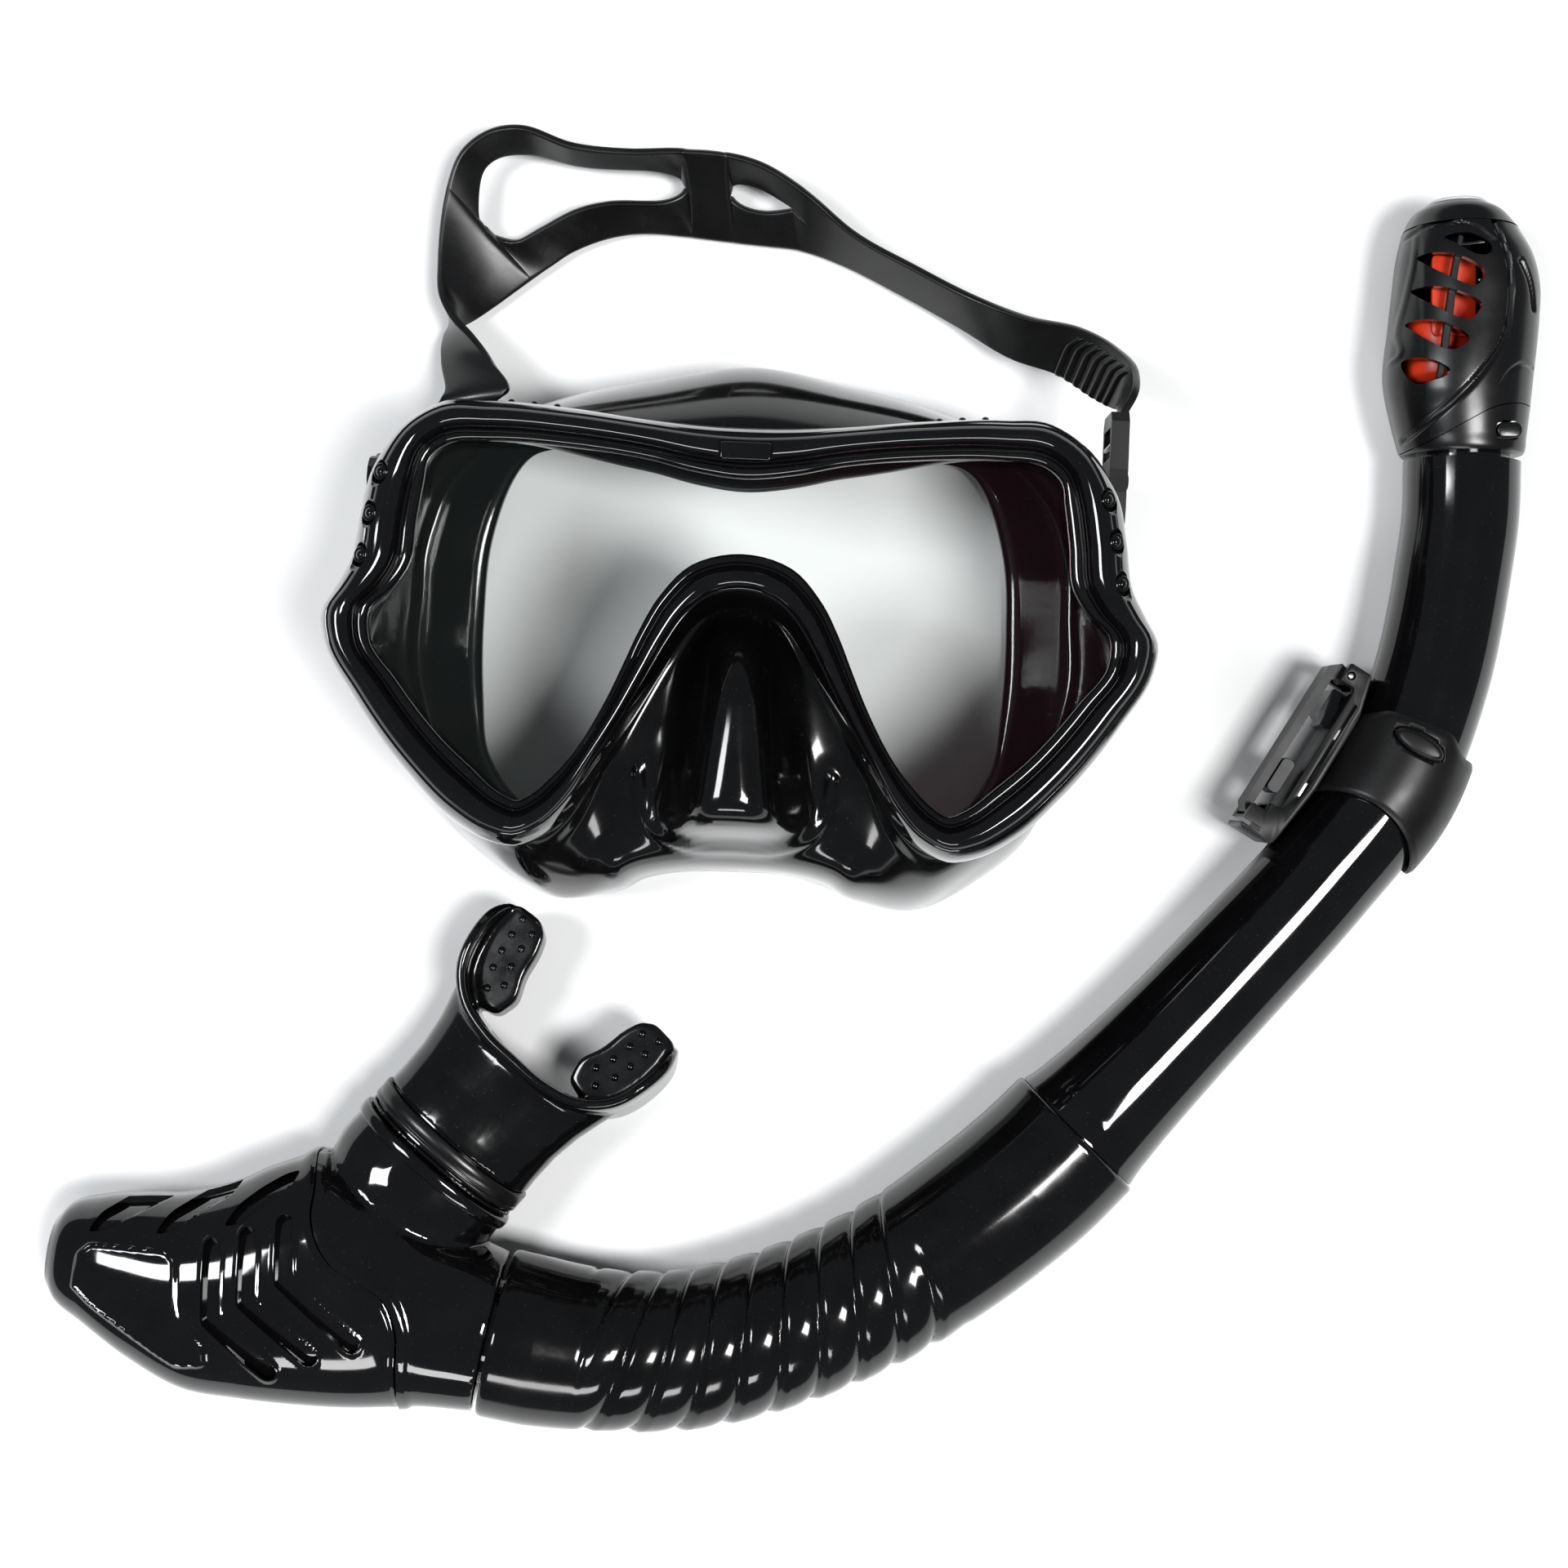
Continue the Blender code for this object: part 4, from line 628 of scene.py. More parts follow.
FACE_EDGE = [
    (0, (0.0, 36.0, 14.0)),
    (2, (22.0, 40.0, 13.0)),
    (3, (40.0, 42.4, 10.0)),
    (5, (53.5, 36.6, 6.0)),
    (7, (58.2, 22.4, 4.0)),
    (9, (59.6, 4.0, 3.0)),
    (12, (59.2, -13.0, 3.0)),
    (14, (57.0, -28.0, 4.0)),
    (16, (50.0, -37.0, 6.0)),
    (18, (42.0, -42.0, 8.0)),
    (21, (26.0, -43.5, 11.0)),
    (24, (11.0, -42.6, 13.0)),
    (26, (0.0, -42.4, 14.0)),
]

# Three recessed rivets on each temple and the way their holes lean outward, and three pins on the top edge.
RIVETS = [(75.2, 29.3), (77.2, 20.8), (78.8, 12.2)]
RIVET_LEAN = math.radians(35.0)
PIN_X = (40.0, 44.8, 49.6)

# The strap from the left buckle to the right one, in the mask's frame. A row holds the upper edge, the
# two sides of the opening between the strands where there is one, and the lower edge.
STRAP = [
    ((-TONGUE_X, 25.2, 34.0), (-TONGUE_X, 34.8, 34.0)),
    ((-TONGUE_X, 25.2, 27.6), (-TONGUE_X, 34.6, 27.6)),
    ((-TONGUE_X, 26.2, 21.6), (-79.5, 35.0, 23.6)),
    ((-78.8, 32.4, 14.0), (-78.2, 38.4, 21.0)),
    ((-72.5, 44.2, 12.5), (-72.5, 44.2, 22.0)),
    ((-64.0, 49.2, 18.0), (-70.4, 50.8, 22.0)),
    ((-55.0, 53.0, 24.0), (-69.2, 53.6, 19.5)),
    ((-58.8, 61.0, 20.0), (-71.2, 61.2, 12.0)),
    ((-63.6, 66.6, 18.0), (-71.6, 66.6, 7.0)),
    ((-69.0, 72.2, 15.0), (-70.2, 70.8, 3.2)),
    ((-72.0, 77.4, 13.0), (-65.4, 73.4, 2.6)),
    ((-72.9, 85.0, 12.0), (-60.8, 76.4, 2.6)),
    ((-72.8, 92.8, 12.0), (-56.8, 79.4, 2.6)),
    ((-71.6, 101.4, 12.6), (-66.4, 98.6, 9.4), (-61.8, 90.2, 5.4), (-52.4, 82.8, 2.6)),
    ((-68.6, 109.0, 14.0), (-64.4, 105.8, 8.4), (-56.4, 90.8, 6.6), (-48.0, 86.2, 2.6)),
    ((-62.6, 113.8, 15.0), (-60.4, 109.8, 8.0), (-50.4, 94.0, 7.6), (-43.4, 89.6, 2.6)),
    ((-54.8, 115.0, 16.0), (-53.0, 110.8, 8.0), (-43.2, 98.0, 8.4), (-37.4, 92.4, 2.6)),
    ((-43.6, 111.4, 16.0), (-42.2, 108.8, 8.0), (-35.4, 100.2, 8.8), (-31.0, 94.2, 2.6)),
    ((-30.4, 110.4, 16.0), (-30.4, 108.4, 8.0), (-26.6, 100.6, 9.0), (-24.0, 94.8, 2.6)),
    ((-17.8, 111.2, 16.0), (-17.4, 108.8, 8.0), (-17.2, 100.8, 9.0), (-15.6, 94.2, 2.6)),
    ((-8.4, 110.8, 16.0), (-8.4, 107.6, 8.4), (-6.0, 99.4, 9.0), (-6.2, 93.4, 2.6)),
    ((0.4, 108.6, 15.6), (-0.2, 104.8, 9.0), (1.4, 99.4, 9.0), (1.6, 92.9, 2.6)),
    ((9.6, 103.6, 14.6), (7.6, 101.0, 9.8), (7.4, 99.8, 8.8), (9.4, 92.2, 2.6)),
    ((21.0, 94.8, 13.0), (19.4, 89.4, 2.6)),
    ((35.6, 87.0, 14.0), (33.2, 83.0, 3.0)),
    ((49.0, 80.4, 16.0), (46.4, 75.8, 5.0)),
    ((61.2, 75.4, 21.0), (58.2, 67.6, 12.0)),
    ((72.0, 72.2, 28.0), (69.0, 62.6, 20.0)),
    ((79.4, 67.0, 35.0), (75.6, 56.6, 28.5)),
    ((83.0, 60.6, 43.0), (79.6, 53.0, 36.4)),
    ((82.0, 54.4, 49.2), (80.2, 52.2, 40.7)),
    ((TONGUE_X + 0.2, 50.4, 50.3), (TONGUE_X, 49.6, 40.7)),
    ((TONGUE_X, 42.4, 50.3), (TONGUE_X, 42.4, 40.7)),
]
STRAP_OPENINGS = [(13, 19), (20, 22)]    # first and last row of each opening
OPENING_END = 9.0                        # length of an opening's rounded end
STRAP_RIBS = 7
RIB_PITCH = 3.0
RIB_ROW = 26                             # the ribs start some way past this row
RIB_START = 13.5

# The snorkel's centre line from the chamber's end to the dry top, with its height over the table.
JOINT_CHAMBER = (-65.2, -123.2, 19.3)
HOSE_ROUTE = [
    JOINT_CHAMBER, (-60.3, -124.35, 19.2), (-55.0, -125.5, 19.0), (-44.4, -127.1, 18.6), (-22.2, -127.4, 18.3),
    (0.6, -121.9, 18.2), (22.7, -112.1, 18.2), (44.4, -97.6, 18.1), (57.0, -87.4, 17.6),
    (66.1, -78.5, 17.4),
]
BARREL_ROUTE = [
    (53.6, -90.2, 17.7), (57.0, -87.4, 17.6), (66.1, -78.5, 17.4), (79.9, -64.6, 17.0), (100.6, -42.9, 16.8),
    (121.0, -20.6, 16.7), (136.0, -1.6, 16.6), (145.9, 22.6, 16.4), (151.3, 48.1, 16.2), (153.0, 60.5, 16.2),
    (153.4, 72.8, 16.2),
]
HOSE_RIDGES = 9
HOSE_BORE = 13.3
BARREL_BORE = 11.8

BRANCH_ORIGIN = (-72.3, -78.0, 18.0)     # middle of the mouthpiece's collar line
BRANCH_AXIS = Vector((0.657, 0.754, 0.0)).normalized()
BRANCH_RIGHT = Vector((BRANCH_AXIS.y, -BRANCH_AXIS.x, 0.0))
SEAT_CENTRE = (-95.8, -110.8, 19.3)      # middle of the purge valve's seat
SEAT_ANGLE = math.radians(15.9)
# The seam between the purge cover and the chamber, seen from above.
SEAM = [
    (-104.4, -79.0), (-103.2, -88.7), (-103.6, -94.6), (-102.4, -99.6), (-99.0, -105.0), (-92.6, -109.0),
    (-87.4, -113.0), (-85.0, -119.0), (-85.3, -129.0), (-86.2, -144.0),
]
KEEPER_CENTRE = (136.2, -2.0, 16.6)
KEEPER_ANGLE = math.radians(57.8)
DRY_Z = 16.2                             # the dry top's axis over the table

UP = Vector((0.0, 0.0, 1.0))
TABLE = flat_frame((0.0, 0.0, 0.0), 0.0)
DRY = flat_frame((0.0, 0.0, DRY_Z), 0.0)

# ---------------------------------------------------------------- the mask's rim
RIM_KEYS = lengths_along([((o[0] + i[0]) / 2, (o[1] + i[1]) / 2) for o, i in RIM])
RIM_LENGTH = RIM_KEYS[-1]
RIM_SAMPLES = 150
BEZEL_WIDTH = 13.0


def half_curve(rows, points):
    """A half outline keyed by length along the rim, with one mirrored point past each end; rows are RIM's."""
    keys = [RIM_KEYS[r] for r in rows]
    first, last = [(-x, *rest) for x, *rest in (points[1], points[-2])]
    return smooth_curve([-keys[1], *keys, 2 * RIM_LENGTH - keys[-2]], [first, *points, last])


OUTER_EDGE = half_curve(range(len(RIM)), [outer for outer, _ in RIM])
LENS_SIDE = half_curve(range(len(RIM)), [inner for _, inner in RIM])
SEAL_LINE = half_curve(*zip(*SEAL_EDGE))
FACE_LINE = half_curve(*zip(*FACE_EDGE))


def rim_stations():
    """Key and side of every sample round the rim, clockwise from the top centre."""
    keys = [RIM_LENGTH * i / RIM_SAMPLES for i in range(RIM_SAMPLES + 1)]
    return [(k, 1) for k in keys] + [(k, -1) for k in keys[-2:0:-1]]


def rim_point(key, side, across, height):
    """A point over the rim; across is 0 at the lens and 1 outside."""
    x, y = LENS_SIDE(key) * (1 - across) + OUTER_EDGE(key) * across
    return (x * side, y, height)


def edge_key(rows, samples, axis, value):
    """Where, between two rows of RIM, the outer edge comes nearest to a value of x or y."""
    keys = np.linspace(RIM_KEYS[rows[0]], RIM_KEYS[rows[1]], samples)
    return min(keys, key=lambda k: abs(OUTER_EDGE(k)[axis] - value))


# The bezel's crown, as rows of how far across the rim and height.
BEZEL_CROWN = [
    (0.0, 68.5), (0.0, 69.9), (0.015, 70.6), (0.05, 71.1), (0.11, 71.4), (0.17, 71.35), (0.2, 71.0), (0.225, 71.0),
    (0.25, 71.6), (0.29, 72.6), (0.35, 73.5), (0.42, 74.1), (0.5, 74.35), (0.58, 74.2), (0.66, 73.55),
    (0.70, 73.0), (0.715, 72.6), (0.73, 72.5), (0.745, 72.55), (0.78, 71.9), (0.83, 70.6), (0.88, 69.0),
    (0.93, 66.9), (0.97, 64.6), (0.995, 62.0), (1.0, 60.4), (1.0, 58.6), (0.985, 58.05),
]


def make_bezel():
    """The glossy front frame: a rounded section with a shoulder and a parting groove, swept round the rim."""
    fine = soft_line([(t * BEZEL_WIDTH, z) for t, z in BEZEL_CROWN], 84)
    section = [(x / BEZEL_WIDTH, z) for x, z in fine]
    section += [(0.9, 58.0), (0.88, 58.1), (0.88, 64.1), (0.68, 64.1), (0.68, 68.4), (0.02, 68.4)]
    rings = [[rim_point(k, s, t, z) for t, z in section] for k, s in rim_stations()]
    bezel = piece("bezel", loft(rings, looped=True), MASK, GLOSS, "mask_frame", "gloss", "front_bezel")
    level = flat_frame((0.0, 36.0, 0.0), 0.0)
    cut(bezel, prism(level, rounded_outline((-5.6, 5.6), (-2.2, 2.2), 0.5, 4), 73.0, 78.0), place=MASK)
    tab = prism(level, rounded_outline((-5.2, 5.2), (-1.8, 1.8), 0.6, 4), 73.4, 74.9)
    bevelled(piece("latch_tab", tab, MASK, GLOSS, "mask_frame", "gloss", "top_latch_tab"), 0.35)
    hole = [(-1.9, 2.35), (-0.9, 2.4), (-0.35, 2.5), (0.0, 2.75), (0.3, 3.2), (6.0, 5.0)]
    rivet = [(-1.6, 1.9), (-1.1, 1.92), (-0.75, 1.8), (-0.6, 1.55), (-0.75, 1.2), (-0.72, 1.0), (-0.35, 0.85),
             (-0.2, 0.5), (-0.15, 0.1)]
    pin = [(-0.6, 0.85), (0.6, 0.85), (1.0, 0.72), (1.25, 0.48), (1.35, 0.15)]
    for side, word in ((-1, "left"), (1, "right")):
        lean = Vector((math.sin(RIVET_LEAN) * side, 0.0, math.cos(RIVET_LEAN)))
        for i, (x, y) in enumerate(RIVETS, 1):
            key = edge_key((6, 10), 60, 1, y)
            inner_x, outer_x = LENS_SIDE(key)[0], OUTER_EDGE(key)[0]
            top = np.interp((x - inner_x) / (outer_x - inner_x), [0.62, 0.80, 0.94], [73.9, 71.2, 66.4])
            mouth = (x * side, y, top)
            cut(bezel, turned(mouth, lean, hole, 32), place=MASK)
            piece(f"rivet_{word}_{i}", turned(mouth, lean, rivet, 28), MASK, GLOSS, "mask_frame", "gloss",
                  f"temple_rivet_{word}_{i}")
        for i, x in enumerate(PIN_X, 1):
            foot = (x * side, OUTER_EDGE(edge_key((0, 6), 200, 0, x))[1] - 0.5, 60.5)
            piece(f"edge_pin_{word}_{i}", turned(foot, (0, 1, 0), pin, 20), MASK, GLOSS, "mask_frame", "gloss")
    crisp(bezel)


# ---------------------------------------------------------------- skirt
SKIRT_STEPS = 56
NECK_END = 54.8                          # where the skirt's neck ends and its wall begins
LIP_RISE = 3.0                           # height of the wall's end over the seal line
POCKET_FLOOR = 47.0
NOSE_CREST = 66.0
NOSE_BEAD = [
    (-20.6, -30.0), (-19.6, -37.0), (-16.6, -42.4), (-11.0, -45.0), (0.0, -45.6), (11.0, -45.0), (16.6, -42.4),
    (19.6, -37.0), (20.6, -30.0),
]
# The flange and neck: how far across the rim, height, and how far the brow bulges into the window.
NECK = [
    (0.80, 62.9, 0.0), (0.55, 62.9, 0.0), (0.30, 62.9, 0.0), (0.25, 62.6, 0.04), (0.24, 61.8, 0.2),
    (0.24, 59.5, 0.34), (0.24, 57.0, 0.3), (0.24, NECK_END, 0.15),
]
# The lip and face seal: share of the way to the face edge, and rise.
SEAL_LIP = [(0.04, 1.9), (0.12, 1.0), (0.3, 1.05), (0.5, 1.3), (0.75, 1.4), (1.0, 1.5)]


def nose_weight(key):
    """0 where the skirt meets the face, 1 where it forms the nose pocket."""
    return smoothstep(RIM_KEYS[17], RIM_KEYS[20], key)


def pocket_height(x, y, seal_z, distance):
    """Height of the nose pocket's middle surface, from its lip up over the wells and the ridge."""
    lip = seal_z + LIP_RISE
    rise = min(distance / 7.0, 1.0)
    wall = lip + (POCKET_FLOOR - lip) * math.sqrt(1 - (1 - rise) ** 2)
    floor = wall + 6.0 * smoothstep(8.0, 30.0, distance)
    half_width = 4.6 + 6.6 * min(max((2.0 - y) / 42.0, 0.0), 1.0)
    ridge = 1.0 / (1.0 + (abs(x) / half_width) ** 6)
    crest = NOSE_CREST + 9.5 * smoothstep(4.0, -14.0, y)
    ends = smoothstep(7.0, 11.5, distance) * smoothstep(4.6, -3.0, y)
    return floor + (crest - floor) * ridge * ends


def skirt_profile(key, side):
    """The skirt's middle surface at one station: flange, neck, wall, lip and face seal."""
    rim = Vector(OUTER_EDGE(key))
    brow = (1 - smoothstep(22.0, 54.0, rim.x)) * (rim.y > 20.0)
    profile = [Vector(rim_point(key, 1, across - brow * tuck, z)) for across, z, tuck in NECK]
    neck = profile[-1].xy
    seal = Vector(SEAL_LINE(key))
    inward = Vector(FACE_LINE(key)) - seal
    reach = (seal.xy - neck).length
    rim_reach = (rim - neck).length
    nose = nose_weight(key)
    for step in np.linspace(0.03, 1.0, SKIRT_STEPS):
        eased = 0.45 * step + 0.55 * math.sin(step * math.pi / 2)
        out = eased * (1 - nose) + step * nose
        spot = neck + (seal.xy - neck) * out
        face_z = NECK_END + (seal.z + LIP_RISE - NECK_END) * (1 - math.cos(step * math.pi / 2))
        clear = smoothstep(rim_reach + 0.2, rim_reach + 3.0, (spot - neck).length)
        nose_z = NECK_END * (1 - clear) + pocket_height(*spot, seal.z, reach * (1 - out)) * clear
        profile.append(Vector((*spot, face_z * (1 - nose) + nose_z * nose)))
    for share, rise in SEAL_LIP:
        drop = inward.z * share if share > 0.12 else 0.0
        profile.append(seal + Vector((inward.x * share, inward.y * share, drop + rise)))
    return [(p.x * side, p.y, p.z) for p in profile]


def make_skirt():
    """The silicone skirt as one shell, with the rolled shelf under the nose."""
    stations = rim_stations()
    columns = [skirt_profile(*station) for station in stations]
    rows = len(columns[0])
    points = [p for column in columns for p in column]
    faces = []
    for i in range(len(columns)):
        a, b = i * rows, ((i + 1) % len(columns)) * rows
        faces += [(a + j, b + j, b + j + 1, a + j + 1) for j in range(rows - 1)]
    skirt = piece("face_skirt", (points, faces), MASK, SILICONE, "mask_frame", "silicone", "skirt")
    modified(skirt, "SMOOTH", factor=0.4, iterations=3)
    pocket = skirt.vertex_groups.new(name="pocket")
    for i, (key, _) in enumerate(stations):
        for j in range(12, rows - 7):
            share = nose_weight(key) * smoothstep(12, 17, j) * smoothstep(rows - 7, rows - 13, j)
            if share > 0.0:
                pocket.add([i * rows + j], share, "REPLACE")
    modified(skirt, "SMOOTH", factor=0.5, iterations=26, vertex_group="pocket")
    modified(skirt, "SOLIDIFY", thickness=1.4 * MM, offset=0.0, use_even_offset=True)
    settled(skirt)
    bead = soft_line(NOSE_BEAD, 60)

    def shift(at, normal):
        return 0.9 * near_line(at, bead, 0.3, 2.0) * (normal[:, 2] > 0.1) * (at[:, 2] > 20.0)

    shaped(skirt, MASK, shift)


# ---------------------------------------------------------------- buckles and strap
def buckle_frame(side, heading):
    """Frame at a buckle's pivot: along the strap, across it, and outward from the mask."""
    base = Vector((0.0, *PIVOT))
    along = Vector((0.0, math.cos(heading), math.sin(heading)))
    across = Vector((0.0, -math.sin(heading), math.cos(heading)))

    def place(a, b, x):
        return base + along * a + across * b + Vector((side * x, 0.0, 0.0))

    return place


def make_buckle(word, side, heading):
    """Finer rollers, washers, buttons and pins."""
    place = buckle_frame(side, heading)
    along, across, outward = direction(place, 1, 0, 0), direction(place, 0, 1, 0), direction(place, 0, 0, 1)
    roller = [(0.0, 0.35), (0.12, 0.45), (1.0, 0.45), (1.02, 0.72), (1.12, 0.75), (10.88, 0.75), (10.98, 0.72),
              (11.0, 0.45), (11.88, 0.45), (12.0, 0.35)]
    core = [oval_ring(place(ROLLER_ALONG, d - ROLLER_HALF, ROLLER_X), outward, along, r, r, 44) for d, r in roller]
    piece(f"roller_{word}_fine", loft(core), MASK, STEEL, f"roller_{word}", "steel", f"strap_roller_{word}")
    washer = [(-2.1, 1.65), (-2.0, 1.7), (-1.9, 1.7), (-1.8, 1.65), (-1.8, 1.05), (-1.87, 1.0), (-2.03, 1.0),
              (-2.1, 1.05)]
    rings = [oval_ring(place(BUTTON_ALONG, 0.0, BUCKLE_FACE + x), along, across, r, r, 32) for x, r in washer]
    piece(f"washer_{word}_fine", loft(rings, looped=True), MASK, SILICONE, "strap", "silicone",
          f"button_washer_{word}")
    button = [(-0.9, 1.75), (-0.8, 1.8), (0.6, 1.8), (0.8, 1.66), (0.9, 1.4), (0.82, 0.9), (0.78, 0.3)]
    piece(f"button_{word}_fine", turned(place(BUTTON_ALONG, 0.0, BUCKLE_FACE), outward, button, 32), MASK,
          MATTE, f"button_{word}", "matte", f"release_button_{word}")
    pin = [(0.0, 1.4), (0.2, 1.6), (6.3, 1.6), (6.48, 1.45), (6.5, 0.9), (6.35, 0.7), (6.35, 0.1)]
    piece(f"pin_{word}_fine", turned(place(0, 0, 74.4), outward, pin, 32), MASK, STEEL, "mask_frame", "steel",
          f"buckle_pin_{word}")


# How the band is divided from an edge to the opening, and a rib's ends and section.
ACROSS = (0.0, 0.07, 0.2, 0.4, 0.6, 0.8, 0.93, 1.0)
RIB_ENDS = [
    (0.13, 0.3), (0.15, 0.7), (0.18, 1.0), (0.26, 1.0), (0.36, 1.0), (0.5, 1.0), (0.7, 1.0), (0.9, 1.0), (0.97, 0.8),
    (1.0, 0.4),
]
RIB_SECTION = [
    (-0.85, -0.5), (0.85, -0.5), (0.8, 0.4), (0.7, 0.8), (0.5, 0.95), (0.0, 1.0), (-0.5, 0.95), (-0.7, 0.8),
    (-0.8, 0.4),
]


def opening_reach(keys, a, b):
    """Length of the rounded ends of the opening between two rows."""
    return min(OPENING_END, (keys[b] - keys[a]) * 0.5)


def strap_samples(keys):
    """Places along the strap, closest together round the ends of its openings and over its ribs."""
    marks = [np.linspace(keys[0], keys[-1], 300)]
    for a, b in STRAP_OPENINGS:
        turn = opening_reach(keys, a, b) * (1 - np.cos(np.linspace(0.0, math.pi / 2, 22)))
        marks += [keys[a] + turn, keys[b] - turn]
    marks.append(np.arange(keys[25] + 2.0, keys[29], 0.28))
    merged = np.unique(np.round(np.concatenate(marks), 3))
    return merged[np.concatenate([[True], np.diff(merged) > 0.04])]


def strap_columns(keys, rows, edges):
    """Upper edge, two sides of the opening (or the middle twice) and lower edge, at each place along."""
    sides = {}
    for a, b in STRAP_OPENINGS:
        sides[a, b] = [smooth_curve(keys[a:b + 1], [row[i] for row in rows[a:b + 1]]) for i in (1, 2)]
    columns = []
    for s in strap_samples(keys):
        upper, lower = edges[0](s), edges[1](s)
        top = bottom = (upper + lower) / 2
        for (a, b), curves in sides.items():
            if keys[a] <= s <= keys[b]:
                reach = opening_reach(keys, a, b)
                t = min((s - keys[a]) / reach, (keys[b] - s) / reach, 1.0)
                width = math.sqrt(max(1 - (1 - t) ** 2, 0.0))
                top, bottom = (curve(s) for curve in curves)
                middle = (top + bottom) / 2
                top, bottom = middle + (top - middle) * width, middle + (bottom - middle) * width
        columns.append((upper, top, bottom, lower))
    return columns


def make_strap():
    """The split strap: a silicone ribbon with rounded edges, two openings and a ribbed grip."""
    rows = [[np.array(p) for p in row] for row in STRAP]
    keys = lengths_along([(row[0] + row[-1]) / 2 for row in rows])
    edges = [smooth_curve(keys, [row[i] for row in rows]) for i in (0, -1)]
    points, faces, spots = [], [], []
    half = len(ACROSS)
    for upper, top, bottom, lower in strap_columns(keys, rows, edges):
        row = [upper * (1 - t) + top * t for t in ACROSS] + [bottom * (1 - t) + lower * t for t in ACROSS]
        first = len(points)
        whole = np.linalg.norm(top - bottom) < 1e-3
        points += row[:half] + row[half + whole:]
        spots.append([first + j - (whole and j >= half) for j in range(2 * half)])
    for before, after in zip(spots, spots[1:]):
        for j in (*range(half - 1), *range(half, 2 * half - 1)):
            faces.append((before[j], before[j + 1], after[j + 1], after[j]))
    strap = piece("split_strap", (points, faces), MASK, STRAP_LOOK, "strap", "strap_silicone", "strap")
    modified(strap, "SOLIDIFY", thickness=1.7 * MM, offset=0.0, use_even_offset=False)
    modified(strap, "SUBSURF", levels=1, render_levels=1)
    settled(strap)
    ribs = []
    for k in range(STRAP_RIBS):
        rings = []
        for t, low in RIB_ENDS:
            s = keys[RIB_ROW] + RIB_START + RIB_PITCH * k + 2.4 * smoothstep(0.42, 0.1, t)
            spot, ahead = (edges[0](x) * (1 - t) + edges[1](x) * t for x in (s, s + 0.2))
            along = (ahead - spot) / np.linalg.norm(ahead - spot)
            up = np.cross(edges[1](s) - edges[0](s), along)
            up *= math.copysign(1.0, up[2]) / np.linalg.norm(up)
            rings.append([spot + along * x + up * (z * low + 0.5) for x, z in RIB_SECTION])
        ribs.append(loft(rings))
    piece("strap_ribs", gathered(ribs), MASK, STRAP_LOOK, "strap", "strap_silicone")


# ---------------------------------------------------------------- snorkel tubes
def tube_rings(curve, stations, radius, sides):
    """Rings square to a flat route; radius is a function of the length and the angle round the tube."""
    rings = []
    for s in stations:
        ahead = Vector(curve(s + 0.5)) - Vector(curve(s - 0.5))
        ahead.z = 0.0
        ahead.normalize()
        side = Vector((-ahead.y, ahead.x, 0.0))
        centre = Vector(curve(s))
        ring = []
        for i in range(sides):
            angle = 2 * math.pi * i / sides
            r = radius(s, angle)
            ring.append(centre + side * (r * math.cos(angle)) + Vector((0, 0, r * math.sin(angle))))
        rings.append(ring)
    return rings


def make_hose():
    """The flexible hose: smooth sleeve, ridges that wind round it in four starts, and a smooth cuff."""
    curve, length = route_curve(HOSE_ROUTE)
    start, end = 21.0, length - 45.0
    pitch = (end - start) / HOSE_RIDGES
    keys = [0.0, 0.4, 0.9, 1.6, 10.0, start - 1.5, start + 6.0, end - 4.0, end + 1.0, end + 12.0, length - 16.0,
            length - 1.2, length - 0.5, length - 0.2]
    sizes = [18.4, 18.4, 18.75, 18.9, 18.8, 18.2, 17.9, 17.7, 17.6, 17.75, 17.8, 17.6, 17.4, 17.0]

    def radius(s, angle):
        smooth_size = float(np.interp(s, keys, sizes))
        share = smoothstep(start - 1.5, start + 3.0, s) * smoothstep(end + 2.0, end - 2.5, s)
        if share == 0.0:
            return smooth_size
        turn = ((s - start) / pitch + 4.0 * angle / (2 * math.pi)) % 1.0
        hump = (turn / 0.22) ** 0.6 if turn < 0.22 else (1 - ((turn - 0.22) / 0.78) ** 3.2) ** 0.75
        return smooth_size - share * 1.5 * (1 - hump)

    fine = [0.4, 0.5, 0.7, 0.9, 1.2, 1.6, *np.arange(2.2, length - 1.2, 0.34), length - 1.0, length - 0.7,
            length - 0.4, length - 0.2]
    bore = [fine[0], *np.linspace(6.0, length - 6.0, 50), fine[-1]]
    outer = tube_rings(curve, fine, radius, 112)
    inner = tube_rings(curve, bore, lambda s, angle: HOSE_BORE, 112)
    hose = tool(hollow_loft(outer, inner), SNORKEL, SILICONE, "ridged_hose")
    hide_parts("flex_hose")
    ends = [Vector(curve(s)) for s in (length - 18.0, 8.0)]
    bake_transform(hose)
    crisp(hose, 70)


